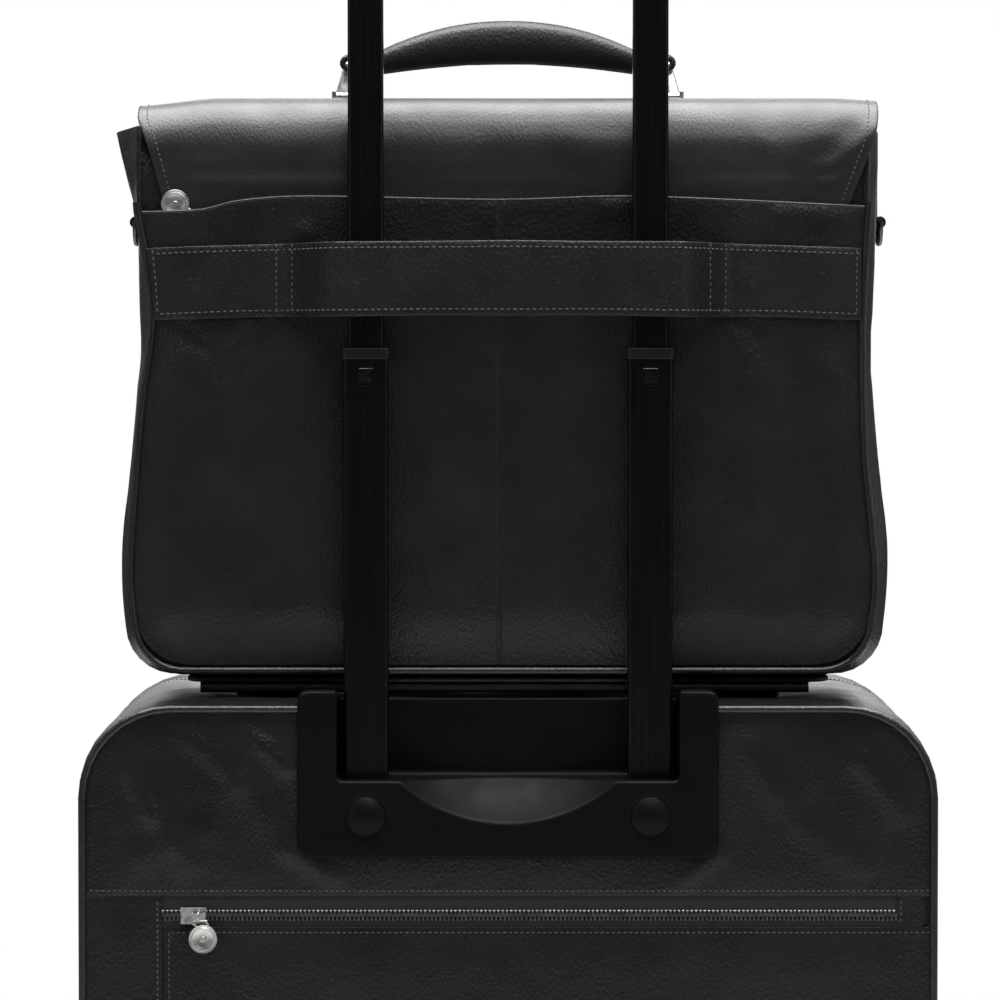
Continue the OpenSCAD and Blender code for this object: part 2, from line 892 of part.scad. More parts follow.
// Flat pocket on the back: a panel sewn round its sides and bottom, open along its top
module slip_pocket() {
    color([0.1, 0.1, 0.1]) {
        difference() {
            slab(slip_y, bag_back)
                polygon(rounded(2 * slip_half, bag_low + piping_w + 3, slip_top, 3,
                    bag_low_r - 6));
            slab(slip_y + leather_t, bag_back + 1)
                polygon(rounded(2 * slip_half - 8, bag_low + piping_w + 7, slip_top + 20, 3,
                    bag_low_r - 10));
        }
    }
}

slip_pull_x = -slip_half + 15.6;

// Zipper slider inside the pocket's mouth and its round pull, peeping over the edge
module slip_zip_pull() {
    color([0.74, 0.74, 0.72]) {
        rod_y(slip_pull_x, slip_y + leather_t + 0.5, slip_y + leather_t + 0.5 + pull_t,
            slip_top - 1, pull_disc_r);
        box(slip_pull_x + 5, slip_pull_x + 19, slip_y + leather_t + 0.5,
            slip_y + leather_t + 0.5 + pull_t, slip_top - 11, slip_top - 6);
        box(slip_pull_x + 17, slip_pull_x + 28, slip_y + leather_t + 0.5, bag_back - 1.9,
            slip_top - 13, slip_top - 6);
    }
}

// Wide band that is sewn to the pocket and stands off it over the two handle tubes
module trolley_strap() {
    flat_half = slip_half - 4;
    top_in = strap_in_y;
    top_out = strap_in_y - strap_t;
    color([0.09, 0.09, 0.09])
        translate([0, 0, strap_low])
            linear_extrude(strap_h)
                polygon([
                    [-flat_half, slip_y], [-loop_half, slip_y], [-loop_shoulder, top_in],
                    [loop_shoulder, top_in], [loop_half, slip_y], [flat_half, slip_y],
                    [flat_half, slip_y - strap_t], [loop_half + 1, slip_y - strap_t],
                    [loop_shoulder + 1, top_out], [-loop_shoulder - 1, top_out],
                    [-loop_half - 1, slip_y - strap_t], [-flat_half, slip_y - strap_t]
                ]);
}

// The flap's tail, sewn flat on the back panel behind the pocket
module flap_back() {
    color([0.11, 0.11, 0.11])
        slab(bag_back - leather_t, bag_back)
            polygon([
                [-flap_half + 18, slip_top - 20], [flap_half - 17, slip_top - 20],
                [flap_half, bag_top - 0.5], [-flap_half, bag_top - 0.5]
            ]);
}

module laptop_divider() {
    color([0.18, 0.18, 0.19])
        slab(divider_y, divider_y + divider_t)
            polygon(rounded(bag_w - 2 * bag_wall - 4, bag_low + bag_wall + 0.2,
                bag_low + divider_h, 12, bag_low_r - 2));
}

module flap_top() {
    color([0.12, 0.12, 0.12])
        box(-flap_half, flap_half, bag_back, flap_front_y - gap, flap_low_z, flap_top_z);
}

module flap_front() {
    color([0.11, 0.11, 0.11])
        slab(flap_front_y, flap_front_y + flap_sheet)
            polygon(rounded(2 * flap_half, flap_low_z - flap_front_h, flap_low_z, 3, 26));
}

module flap_straps() {
    color([0.08, 0.08, 0.08])
        for (s = [-1, 1])
            box(s * strap_x - belt_w / 2, s * strap_x + belt_w / 2, flap_front_y + flap_sheet,
                flap_front_y + flap_sheet + 2.4, flap_low_z - flap_front_h - 18,
                flap_low_z - 20);
}

module flap_buckles() {
    buckle_z = flap_low_z - flap_front_h + 24;
    buckle_y = flap_front_y + flap_sheet + 2.4;
    color([0.74, 0.74, 0.72])
        for (s = [-1, 1]) {
            difference() {
                box(s * strap_x - 18, s * strap_x + 18, buckle_y, buckle_y + 3,
                    buckle_z - 15, buckle_z + 15);
                box(s * strap_x - 14, s * strap_x + 14, buckle_y - 1, buckle_y + 4,
                    buckle_z - 11, buckle_z + 11);
            }
            box(s * strap_x - 1.5, s * strap_x + 1.5, buckle_y, buckle_y + 3,
                buckle_z - 11, buckle_z + 11);
        }
}

// Crescent outline of the padded handle: a high arc over a shallow one
function arc_z(x, half, low, high) =
    low + (high - low) * (1 - pow(x / half, 2));

module bag_handle() {
    steps = 16;
    half = link_x - 3;
    tip = 2.5;
    color([0.07, 0.07, 0.07])
        slab(pivot_y - handle_t / 2, pivot_y + handle_t / 2)
            polygon(concat(
                [for (k = [-steps : steps])
                    [half * k / steps,
                        arc_z(half * k / steps, half, handle_end_z + tip, crest_z)]],
                [for (k = [steps : -1 : -steps])
                    [half * k / steps,
                        arc_z(half * k / steps, half, handle_end_z - tip, belly_z)]]));
}

// Metal link from each mount up to the handle's end
module handle_links() {
    color([0.75, 0.75, 0.73])
        for (s = [-1, 1])
            difference() {
                union() {
                    rod_x(s * link_x - link_w / 2, s * link_x + link_w / 2, pivot_y, pivot_z,
                        3.2);
                    box(s * link_x - 2, s * link_x + 2, pivot_y - 6, pivot_y + 6,
                        pivot_z + 6, link_top + 5);
                    box(s * link_x - link_w / 2, s * link_x + link_w / 2, pivot_y - 2,
                        pivot_y + 2, pivot_z, pivot_z + 7);
                }
                rod_x(s * link_x - link_w, s * link_x + link_w, pivot_y, pivot_z,
                    pivot_r + fit);
            }
}

// Plates on the flap with two ears and the pin that the link turns on
module handle_mounts() {
    ear = 2.4;
    color([0.72, 0.72, 0.7])
        for (s = [-1, 1]) {
            box(s * link_x - 12, s * link_x + 12, pivot_y - 8, pivot_y + 8, flap_top_z,
                flap_top_z + 1);
            for (e = [-1, 1])
                translate([s * link_x + e * (link_w / 2 + 0.2 + ear / 2), 0, 0])
                    box(-ear / 2, ear / 2, pivot_y - 3, pivot_y + 3, flap_top_z,
                        pivot_z + 3);
            rod_x(s * link_x - link_w / 2 - ear, s * link_x + link_w / 2 + ear, pivot_y,
                pivot_z, pivot_r);
        }
}

// Leather tabs on the bag's sides, each folded round a ring's straight bar
module ring_tabs() {
    color([0.08, 0.08, 0.08])
        for (s = [-1, 1])
            scale_side(s)
                difference() {
                    union() {
                        box(bag_w / 2, bag_w / 2 + 2.2, bag_mid_y - ring_tab_w / 2,
                            bag_mid_y + ring_tab_w / 2, ring_z, ring_z + 30);
                        rod_y(ring_x - 0.8, bag_mid_y - ring_tab_w / 2,
                            bag_mid_y + ring_tab_w / 2, ring_z, ring_loop_r);
                    }
                    rod_y(ring_x - 0.8, bag_mid_y - ring_tab_w, bag_mid_y + ring_tab_w,
                        ring_z, ring_bar_r + fit);
                }
}

module side_ring(s) {
    color([0.74, 0.74, 0.72])
        scale_side(s)
            translate([ring_x - 0.8, bag_mid_y, ring_z]) {
                rod_y(0, -ring_r, ring_r, 0, ring_bar_r);
                rotate([0, 90, 0])
                    rotate([0, 0, -90])
                        rotate_extrude(angle = 180, $fn = 64)
                            translate([ring_r, 0])
                                circle(r = ring_bar_r, $fn = 32);
            }
}

case_shell();
inner_back_panel();
back_yoke();
back_side_panel();
back_pocket_panel();
rear_zip_chain();
rear_zip_slider();
rear_zip_pull();
back_piping();
handle_housing();
housing_screws();
guide_tubes();
tube_foot();
base_plate();
wheel_housings();
wheel_axles();
wheel_bearings();
front_feet();
main_zip_case_half();
carry_handle();
carry_handle_mounts();
wheel_tyre(-1);  // wheel_left_tyre
wheel_hub(-1);  // wheel_left_hub
wheel_tyre(1);  // wheel_right_tyre
wheel_hub(1);  // wheel_right_hub
lower_tubes();
lower_collars();
lower_glides();
upper_tubes();
upper_glides();
grip();
release_button();
release_rods();
lid_shell();
lid_piping();
main_zip_lid_half();
lid_pocket_panel();
main_zip_slider();
main_zip_pull();
bag_back_panel();
bag_gusset();
bag_front_panel();
bag_front_pocket();
bag_base();
bag_piping();
slip_pocket();
slip_zip_pull();
trolley_strap();
flap_back();
laptop_divider();
flap_top();
flap_front();
flap_straps();
flap_buckles();
bag_handle();
handle_links();
handle_mounts();
ring_tabs();
side_ring(-1);  // side_ring_left
side_ring(1);  // side_ring_right
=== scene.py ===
"""Looks for the wheeled leather case with its telescoping handle and flap-over briefcase.

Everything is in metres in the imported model's frame: +Z up, the handle side faces -Y, the lid +Y.
Sizes in the tables below are millimetres and go through mm().
"""
import json
import math

import bpy
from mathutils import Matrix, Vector, noise


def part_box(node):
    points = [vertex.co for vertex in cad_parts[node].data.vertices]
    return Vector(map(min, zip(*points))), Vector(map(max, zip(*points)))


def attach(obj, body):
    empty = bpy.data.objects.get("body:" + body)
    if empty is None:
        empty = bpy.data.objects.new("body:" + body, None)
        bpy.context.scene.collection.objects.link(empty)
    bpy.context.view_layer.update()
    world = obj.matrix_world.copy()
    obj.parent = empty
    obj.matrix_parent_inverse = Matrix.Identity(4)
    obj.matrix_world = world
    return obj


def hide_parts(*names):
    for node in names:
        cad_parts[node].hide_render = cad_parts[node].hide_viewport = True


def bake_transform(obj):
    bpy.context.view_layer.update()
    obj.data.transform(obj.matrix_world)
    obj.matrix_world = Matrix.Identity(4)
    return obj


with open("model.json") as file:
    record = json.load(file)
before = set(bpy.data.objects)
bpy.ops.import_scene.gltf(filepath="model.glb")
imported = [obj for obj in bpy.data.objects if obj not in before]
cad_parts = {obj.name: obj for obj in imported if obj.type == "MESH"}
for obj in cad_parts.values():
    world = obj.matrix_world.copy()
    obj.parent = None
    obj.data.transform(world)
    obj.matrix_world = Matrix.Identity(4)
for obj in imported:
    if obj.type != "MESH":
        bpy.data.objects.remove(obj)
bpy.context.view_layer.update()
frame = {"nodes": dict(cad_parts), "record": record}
NODES = frame["nodes"]
MM = 0.001
OUT_BACK, OUT_FRONT, OUT_UP, OUT_DOWN = (0, -1, 0), (0, 1, 0), (0, 0, 1), (0, 0, -1)


def mm(*values):
    return Vector([v * MM for v in values])


class Box:
    """A CAD node's box at rest, in millimetres."""

    def __init__(self, node):
        low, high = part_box(node)
        self.x0, self.y0, self.z0 = (v / MM for v in low)
        self.x1, self.y1, self.z1 = (v / MM for v in high)

    def face(self, inset=0.0):
        """(x0, x1, z0, z1) of the box seen from the handle side, drawn in by inset."""
        return self.x0 + inset, self.x1 - inset, self.z0 + inset, self.z1 - inset


# ---------------------------------------------------------------- camera

TUBE_Y = -96
CAMERA_AWAY = 2600
CAMERA_Z = 590
MM_PER_PIXEL = 0.56
FRAME_MIDDLE_Z = 496
FRAME_MIDDLE_X = -4.5

IMAGE_PIXELS = 1000
SENSOR_WIDTH = 36

camera = bpy.data.cameras.new("camera")
camera.sensor_width = SENSOR_WIDTH
sight = math.hypot(CAMERA_AWAY, CAMERA_Z - FRAME_MIDDLE_Z)
camera.lens = SENSOR_WIDTH * sight / (IMAGE_PIXELS * MM_PER_PIXEL)
camera.clip_start = 0.05
camera.clip_end = 50
camera_object = bpy.data.objects.new("camera", camera)
camera_object.location = mm(FRAME_MIDDLE_X, TUBE_Y - CAMERA_AWAY, CAMERA_Z)
camera_object.rotation_euler = (math.radians(90) - math.atan2(CAMERA_Z - FRAME_MIDDLE_Z, CAMERA_AWAY), 0, 0)
bpy.context.scene.collection.objects.link(camera_object)
bpy.context.scene.camera = camera_object


# ---------------------------------------------------------------- materials

def start_material(name, colour, roughness, metallic=0.0):
    """A material with its Principled shader, and the object coordinates to drive textures."""
    material = bpy.data.materials.new(name)
    material.use_nodes = True
    tree = material.node_tree
    shader = tree.nodes["Principled BSDF"]
    shader.inputs["Base Color"].default_value = (*colour, 1)
    shader.inputs["Roughness"].default_value = roughness
    shader.inputs["Metallic"].default_value = metallic
    place = tree.nodes.new("ShaderNodeTexCoord").outputs["Object"]
    return material, tree, shader, place


def noise_node(tree, place, scale, detail=3.0, distortion=0.0):
    """A noise texture's 0 to 1 value. scale is in bumps per metre."""
    node = tree.nodes.new("ShaderNodeTexNoise")
    node.inputs["Scale"].default_value = scale
    node.inputs["Detail"].default_value = detail
    node.inputs["Distortion"].default_value = distortion
    tree.links.new(place, node.inputs["Vector"])
    return node.outputs["Fac"]


def to_range(tree, value, low, high):
    """Spreads the middle values of a noise over low to high."""
    node = tree.nodes.new("ShaderNodeMapRange")
    node.inputs["From Min"].default_value = 0.3
    node.inputs["From Max"].default_value = 0.7
    node.inputs["To Min"].default_value = low
    node.inputs["To Max"].default_value = high
    tree.links.new(value, node.inputs["Value"])
    return node.outputs["Result"]


def tint(tree, shader, value, dark, light):
    """Base colour between two tones, following a 0 to 1 value."""
    node = tree.nodes.new("ShaderNodeMix")
    node.data_type = "RGBA"
    node.inputs["A"].default_value = (*dark, 1)
    node.inputs["B"].default_value = (*light, 1)
    tree.links.new(value, node.inputs["Factor"])
    tree.links.new(node.outputs["Result"], shader.inputs["Base Color"])


def bump(tree, shader, height, strength, depth, before=None):
    """Adds relief depth millimetres deep on top of the normals before it."""
    node = tree.nodes.new("ShaderNodeBump")
    node.inputs["Strength"].default_value = strength
    node.inputs["Distance"].default_value = depth * MM
    tree.links.new(height, node.inputs["Height"])
    if before:
        tree.links.new(before, node.inputs["Normal"])
    tree.links.new(node.outputs["Normal"], shader.inputs["Normal"])
    return node.outputs["Normal"]


def soft_edges(tree, radius):
    """Normals that round a machined part's edges over a small radius."""
    node = tree.nodes.new("ShaderNodeBevel")
    node.samples = 6
    node.inputs["Radius"].default_value = radius * MM
    return node.outputs["Normal"]


def leather(name, tone, roughness, grain, coat, gloss=0.4):
    """Black leather: fine pores drawn out along the hide, stretch lines, and cloudy gloss and colour."""
    material, tree, shader, place = start_material(name, (tone,) * 3, roughness)
    cloud = noise_node(tree, place, 14, 3, 0.6)
    tint(tree, shader, to_range(tree, cloud, 0, 1), (tone * 0.75,) * 3, (tone * 1.35,) * 3)
    tree.links.new(to_range(tree, noise_node(tree, place, 45, 4), roughness * 0.88, roughness * 1.15),
                   shader.inputs["Roughness"])
    drawn = tree.nodes.new("ShaderNodeMapping")
    drawn.inputs["Scale"].default_value = (1.3, 1.3, 0.75)
    tree.links.new(place, drawn.inputs["Vector"])
    pores = tree.nodes.new("ShaderNodeTexVoronoi")
    pores.feature = "SMOOTH_F1"
    pores.inputs["Scale"].default_value = 640
    pores.inputs["Smoothness"].default_value = 0.7
    tree.links.new(drawn.outputs["Vector"], pores.inputs["Vector"])
    creases = bump(tree, shader, noise_node(tree, place, 80, 2, 0.4), 0.2 * grain, 1.0)
    hair = noise_node(tree, drawn.outputs["Vector"], 620, 2, 0.3)
    fine = bump(tree, shader, hair, 0.6 * grain, 0.4, creases)
    bump(tree, shader, pores.outputs["Distance"], 0.9 * grain, 0.5, fine)
    shader.inputs["Specular IOR Level"].default_value = gloss
    shader.inputs["Coat Weight"].default_value = coat
    shader.inputs["Coat Roughness"].default_value = 0.3
    return material


def moulded(name, tone, roughness, edge, texture=0.15, gloss=0.5):
    """Injection-moulded plastic with a fine spark texture and softened edges."""
    material, tree, shader, place = start_material(name, (tone,) * 3, roughness)
    shader.inputs["Specular IOR Level"].default_value = gloss
    tree.links.new(to_range(tree, noise_node(tree, place, 60, 3), roughness * 0.85, roughness * 1.15),
                   shader.inputs["Roughness"])
    bump(tree, shader, noise_node(tree, place, 1800, 2), texture, 0.1, soft_edges(tree, edge))
    return material


def metal(name, colour, roughness, edge=0.25):
    """Plated or anodised metal with faint scratches and uneven gloss."""
    material, tree, shader, place = start_material(name, colour, roughness, 1.0)
    tree.links.new(to_range(tree, noise_node(tree, place, 220, 5, 0.8), roughness * 0.7, roughness * 1.4),
                   shader.inputs["Roughness"])
    bump(tree, shader, noise_node(tree, place, 900, 4, 2.0), 0.08, 0.05, soft_edges(tree, edge))
    return material


def anodised(name, tone, roughness):
    """Drawn and anodised tube: fine lines along its length under an even satin gloss."""
    material, tree, shader, place = start_material(name, (tone,) * 3, roughness, 1.0)
    stretch = tree.nodes.new("ShaderNodeMapping")
    stretch.inputs["Scale"].default_value = (1, 1, 0.01)
    tree.links.new(place, stretch.inputs["Vector"])
    lines = noise_node(tree, stretch.outputs["Vector"], 1500, 2)
    tree.links.new(to_range(tree, lines, roughness * 0.85, roughness * 1.15), shader.inputs["Roughness"])
    bump(tree, shader, lines, 0.25, 0.06, soft_edges(tree, 0.15))
    return material


def woven(name, tone, threads, roughness=0.85):
    """Plain-woven cloth: two crossed thread waves, with sheen."""
    material, tree, shader, place = start_material(name, (tone,) * 3, roughness)
    heights = []
    for direction in ("X", "Z"):
        wave = tree.nodes.new("ShaderNodeTexWave")
        wave.bands_direction = direction
        wave.inputs["Scale"].default_value = threads
        wave.inputs["Distortion"].default_value = 0.6
        tree.links.new(place, wave.inputs["Vector"])
        heights.append(wave.outputs["Fac"])
    weave = tree.nodes.new("ShaderNodeMath")
    weave.operation = "MULTIPLY"
    tree.links.new(heights[0], weave.inputs[0])
    tree.links.new(heights[1], weave.inputs[1])
    tint(tree, shader, weave.outputs["Value"], (tone * 0.6,) * 3, (tone * 1.3,) * 3)
    bump(tree, shader, weave.outputs["Value"], 0.5, 0.3)
    shader.inputs["Sheen Weight"].default_value = 0.25
    return material


MATERIALS = {
    "case_leather": leather("case_leather", 0.0074, 0.40, 0.75, 0.03, 0.28),
    "bag_leather": leather("bag_leather", 0.0072, 0.42, 0.85, 0.06, 0.32),
    "flap_leather": leather("flap_leather", 0.0125, 0.47, 0.45, 0.25),
    "strap_leather": leather("strap_leather", 0.0070, 0.46, 1.0, 0.06, 0.34),
    "handle_leather": leather("handle_leather", 0.0070, 0.48, 0.6, 0.0),
    "piping_leather": leather("piping_leather", 0.0090, 0.34, 0.5, 0.3),
    "lining": woven("lining", 0.05, 420),
    "zip_tape": woven("zip_tape", 0.008, 520),
    "housing_plastic": moulded("housing_plastic", 0.003, 0.46, 1.2, 0.2, 0.1),
    "handle_plastic": moulded("handle_plastic", 0.006, 0.46, 1.0, 0.15, 0.35),
    "button_plastic": moulded("button_plastic", 0.02, 0.38, 0.6),
    "glide_plastic": moulded("glide_plastic", 0.65, 0.5, 0.3),
    "hub_plastic": moulded("hub_plastic", 0.03, 0.42, 0.6),
    "black_tube": anodised("black_tube", 0.026, 0.34),
    "guide_aluminium": metal("guide_aluminium", (0.6, 0.6, 0.62), 0.35),
    "steel": metal("steel", (0.55, 0.55, 0.56), 0.3),
    "black_steel": metal("black_steel", (0.03, 0.03, 0.032), 0.4, 0.1),
    "zip_metal": metal("zip_metal", (0.11, 0.11, 0.11), 0.38, 0.1),
    "dark_nickel": metal("dark_nickel", (0.10, 0.10, 0.10), 0.3, 0.1),
    "nickel": metal("nickel", (0.60, 0.60, 0.58), 0.34, 0.2),
    "rubber": moulded("rubber", 0.014, 0.75, 0.8, 0.3),
    "tyre": moulded("tyre", 0.014, 0.7, 1.0, 0.3),
    "thread": woven("thread", 0.075, 900, 0.6),
}
for entry in frame["record"]["subparts"]:
    NODES[entry["node"]].data.materials.clear()
    NODES[entry["node"]].data.materials.append(MATERIALS[entry["material_slot"]])
NODES["release_rods"].data.materials[0] = MATERIALS["black_steel"]
for ring_node in ("side_ring_left", "side_ring_right"):
    NODES[ring_node].data.materials[0] = MATERIALS["dark_nickel"]


# ---------------------------------------------------------------- mesh tools

def add_piece(name, data, material, body=None):
    """Puts new data into the scene with its finish, riding on a body if one is named."""
    data.materials.append(MATERIALS[material])
    obj = bpy.data.objects.new(name, data)
    bpy.context.scene.collection.objects.link(obj)
    if body:
        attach(obj, body)
    return obj


def add_mesh(name, points, faces, material, body=None, smooth=True):
    """A new mesh piece from points in metres."""
    mesh = bpy.data.meshes.new(name)
    mesh.from_pydata([tuple(p) for p in points], [], faces)
    mesh.update()
    if smooth:
        mesh.shade_smooth()
    return add_piece(name, mesh, material, body)


def grid(rows, columns, closed=False):
    """The cells of a grid of points: row, column and the cell's four corners."""
    for i in range(rows if closed else rows - 1):
        for j in range(columns - 1):
            a, b = i * columns + j, (i + 1) % rows * columns + j
            yield i, j, (a, b, b + 1, a + 1)


def loft(name, ring, depths, place, material, body, keep=None):
    """A shell round a closed outline, facing outwards.

    place(point, depth) is a vertex. Only cells whose middle passes keep(x, y, z) are made.
    """
    points = [Vector(place(p, d)) for p in ring for d in depths]
    faces = []
    for _, _, (a, b, c, d) in grid(len(ring), len(depths), True):
        if not keep or keep(*((points[a] + points[d] + points[c] + points[b]) / 4)):
            faces.append((a, d, c, b))
    return add_mesh(name, [p * MM for p in points], faces, material, body)


def rounded_outline(x0, x1, z0, z1, r_low, r_high, cell=7, marks_x=(), marks_z=()):
    """(x, z, outward x, outward z) round a rounded rectangle, anticlockwise from its bottom left corner."""
    ring = []

    def corner(cx, cz, r, start):
        for k in range(1, 8):
            turn = math.radians(start + 90 * k / 8)
            ring.append((cx + r * math.cos(turn), cz + r * math.sin(turn), math.cos(turn), math.sin(turn)))

    sides = steps(z0 + r_low, z1 - r_high, cell, marks_z)
    ring += [(x, z0, 0, -1) for x in steps(x0 + r_low, x1 - r_low, cell, marks_x)]
    corner(x1 - r_low, z0 + r_low, r_low, -90)
    ring += [(x1, z, 1, 0) for z in sides]
    corner(x1 - r_high, z1 - r_high, r_high, 0)
    ring += [(x, z1, 0, 1) for x in reversed(steps(x0 + r_high, x1 - r_high, cell, marks_x))]
    corner(x0 + r_high, z1 - r_high, r_high, 90)
    ring += [(x0, z, -1, 0) for z in reversed(sides)]
    corner(x0 + r_low, z0 + r_low, r_low, 180)
    return ring


def corner_rows(z, radius):
    """Heights that follow a round corner up from z, or down from it with a negative radius."""
    return [z + radius * (1 - math.cos(math.radians(15 * k))) for k in range(1, 7)]


def panel(name, box, radii, face, material, body, cell=6, keep=None, marks_x=(), marks_z=(), back=False):
    """An upright panel with rounded corners, face(x, z) its y. Columns are straight between the corners."""
    x0, x1, z0, z1 = box
    r_low, r_high = radii
    radius = max(r_low, r_high, 1)
    right, left = x1 - radius, x0 + radius
    marks_z = [*marks_z, *corner_rows(z0, r_low), *corner_rows(z1, -r_high)]

    def point(u, v):
        squeeze = 1 - corner_inset(v, z0, z1, r_low, r_high) / radius
        x = u
        if u > right:
            x = right + (u - right) * squeeze
        elif u < left:
            x = left + (u - left) * squeeze
        return x, face(x, v), v

    us = steps(x0, x1, cell, (left, right, *marks_x))
    if back:
        us.reverse()
    return surface(name, us, steps(z0, z1, cell, marks_z), point, material, body, keep)


def surface(name, us, vs, point, material, body=None, keep=None):
    """A grid sheet: point(u, v) in millimetres for each u and v. Only cells that pass keep(u, v) are made."""
    points = [mm(*point(u, v)) for u in us for v in vs]
    faces = [quad for i, j, quad in grid(len(us), len(vs))
             if not keep or keep((us[i] + us[i + 1]) / 2, (vs[j] + vs[j + 1]) / 2)]
    return add_mesh(name, points, faces, material, body)


def thicken(obj, thickness, edge=0.4, inner=None):
    """Gives a sheet its thickness behind its face and rounds its edges. inner is the far face's material."""
    solid = obj.modifiers.new("thickness", "SOLIDIFY")
    solid.thickness = thickness * MM
    solid.offset = -1.0
    if inner:
        obj.data.materials.append(MATERIALS[inner])
        solid.material_offset = 1
    if edge:
        bevel = obj.modifiers.new("edge", "BEVEL")
        bevel.width = edge * MM
        bevel.segments = 2
        bevel.limit_method = "ANGLE"
        bevel.angle_limit = math.radians(50)
    return obj


def steps(low, high, size, extra=()):
    """Values from low to high about size apart, with the extra ones among them."""
    count = max(1, round((high - low) / size))
    values = {round(low + (high - low) * k / count, 4) for k in range(count + 1)}
    values |= {round(e, 4) for e in extra if low < e < high}
    ordered = sorted(values)
    kept = [ordered[0]]
    for value in ordered[1:]:
        if value - kept[-1] > size * 0.12 or value in extra or value == ordered[-1]:
            kept.append(value)
    return kept


def smooth(t):
    t = min(1.0, max(0.0, t))
    return t * t * (3 - 2 * t)


def along(table, at):
    """Smooth curve through the (position, value) pairs of a table."""
    if at <= table[0][0]:
        return table[0][1]
    for k in range(len(table) - 1):
        (a, va), (b, vb) = table[k], table[k + 1]
        if at <= b:
            before, after = table[max(0, k - 1)], table[min(len(table) - 1, k + 2)]
            slope_a = (vb - before[1]) / (b - before[0])
            slope_b = (after[1] - va) / (after[0] - a)
            t, span = (at - a) / (b - a), b - a
            return ((2 * t ** 3 - 3 * t ** 2 + 1) * va + (t ** 3 - 2 * t ** 2 + t) * span * slope_a
                    + (3 * t ** 2 - 2 * t ** 3) * vb + (t ** 3 - t ** 2) * span * slope_b)
    return table[-1][1]


def folds(x, z, ridges):
    """Height of leather folds. Each ridge is x0, z0, x1, z1, width, height."""
    total = 0.0
    for x0, z0, x1, z1, width, height in ridges:
        length2 = (x1 - x0) ** 2 + (z1 - z0) ** 2
        t = ((x - x0) * (x1 - x0) + (z - z0) * (z1 - z0)) / length2
        beyond = max(0.0, -t, t - 1) * math.sqrt(length2)
        t = min(1.0, max(0.0, t))
        away = math.hypot(x - x0 - t * (x1 - x0), z - z0 - t * (z1 - z0))
        total += height * math.exp(-(away / width) ** 2) * math.exp(-(beyond / (2 * width)) ** 2)
    return total


def ripple(x, z, size, seed):
    """Slow unevenness between -1 and 1, about size millimetres from bump to bump."""
    return noise.noise(Vector((x / size, seed, z / size))) * 1.6


def low_corner_inset(z, low, radius):
    """How far a side is inset at height z where only the lower corners are round."""
    return corner_inset(z, low, math.inf, radius, 0)


def corner_inset(z, low, high, r_low, r_high):
    """How far a rounded rectangle's side is inset at height z."""
    if z < low + r_low:
        d = min(r_low, low + r_low - z)
        return r_low - math.sqrt(max(0.0, r_low ** 2 - d ** 2))
    if z > high - r_high:
        d = min(r_high, z - high + r_high)
        return r_high - math.sqrt(max(0.0, r_high ** 2 - d ** 2))
    return 0.0


def tube(name, points, radius, material, body, cyclic=False):
    """A round bead or wire along points in millimetres."""
    curve = bpy.data.curves.new(name, "CURVE")
    curve.dimensions = "3D"
    curve.bevel_depth = radius * MM
    curve.bevel_resolution = 3
    spline = curve.splines.new("POLY")
    spline.points.add(len(points) - 1)
    for target, p in zip(spline.points, points):
        target.co = (*mm(*p), 1)
    spline.use_cyclic_u = cyclic
    spline.use_smooth = True
    curve.use_fill_caps = True
    return add_piece(name, curve, material, body)


def resample(points, pitch):
    """Points a pitch apart along a polyline, each with its direction."""
    result, need = [], 0.0
    for a, b in zip(points, points[1:]):
        a, b = Vector(a), Vector(b)
        length = (b - a).length
        at = need
        while at < length:
            result.append((a.lerp(b, at / length), (b - a).normalized()))
            at += pitch
        need = at - length
    return result


def stitches(name, lines, out, body, pitch=3.2, length=2.3, radius=0.38):
    """Rows of thread stitches along polylines in millimetres. out is the way the leather faces."""
    points, faces = [], []
    out = Vector(out)
    for line in lines:
        for middle, way in resample(line, pitch):
            side = way.cross(out).normalized()
            up = side.cross(way).normalized()
            middle = middle + way * pitch * 0.5
            base = len(points)
            points.append(mm(*(middle - way * length * 0.5 - up * 0.35)))
            for at, swell in ((-0.3, 0.8), (0.0, 1.0), (0.3, 0.8)):
                for k in range(6):
                    turn = k * math.pi / 3
                    rim = side * math.cos(turn) * swell + up * math.sin(turn) * swell
                    points.append(mm(*(middle + way * length * at + rim * radius + up * 0.1)))
            points.append(mm(*(middle + way * length * 0.5 - up * 0.35)))
            for k in range(6):
                n = (k + 1) % 6
                faces.append((base, base + 1 + n, base + 1 + k))
                for ring in (1, 7):
                    faces.append((base + ring + k, base + ring + n, base + ring + 6 + n, base + ring + 6 + k))
                faces.append((base + 13 + k, base + 13 + n, base + 19))
    return add_mesh(name, points, faces, "thread", body)


def bake(obj):
    """Applies an object's modifiers to its mesh."""
    graph = bpy.context.evaluated_depsgraph_get()
    mesh = bpy.data.meshes.new_from_object(obj.evaluated_get(graph))
    obj.modifiers.clear()
    obj.data = mesh
    return mesh


def voxel_skin(obj, size):
    """Remeshes an object with even cells of that size in millimetres."""
    remesh = obj.modifiers.new("skin", "REMESH")
    remesh.mode = "VOXEL"
    remesh.voxel_size = size * MM


def moulding(name, node, material, body, voxel, passes):
    """A CAD node's shape with its edges rounded off, as it comes from a mould."""
    mesh = NODES[node].data.copy()
    mesh.materials.clear()
    obj = bpy.data.objects.new(name, mesh)
    bpy.context.scene.collection.objects.link(obj)
    voxel_skin(obj, voxel)
    relax = obj.modifiers.new("round", "SMOOTH")
    relax.factor = 0.5
    relax.iterations = passes
    baked = bake(obj)
    baked.materials.clear()
    baked.materials.append(MATERIALS[material])
    baked.shade_smooth()
    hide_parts(node)
    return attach(obj, body)


PULL_R = 8


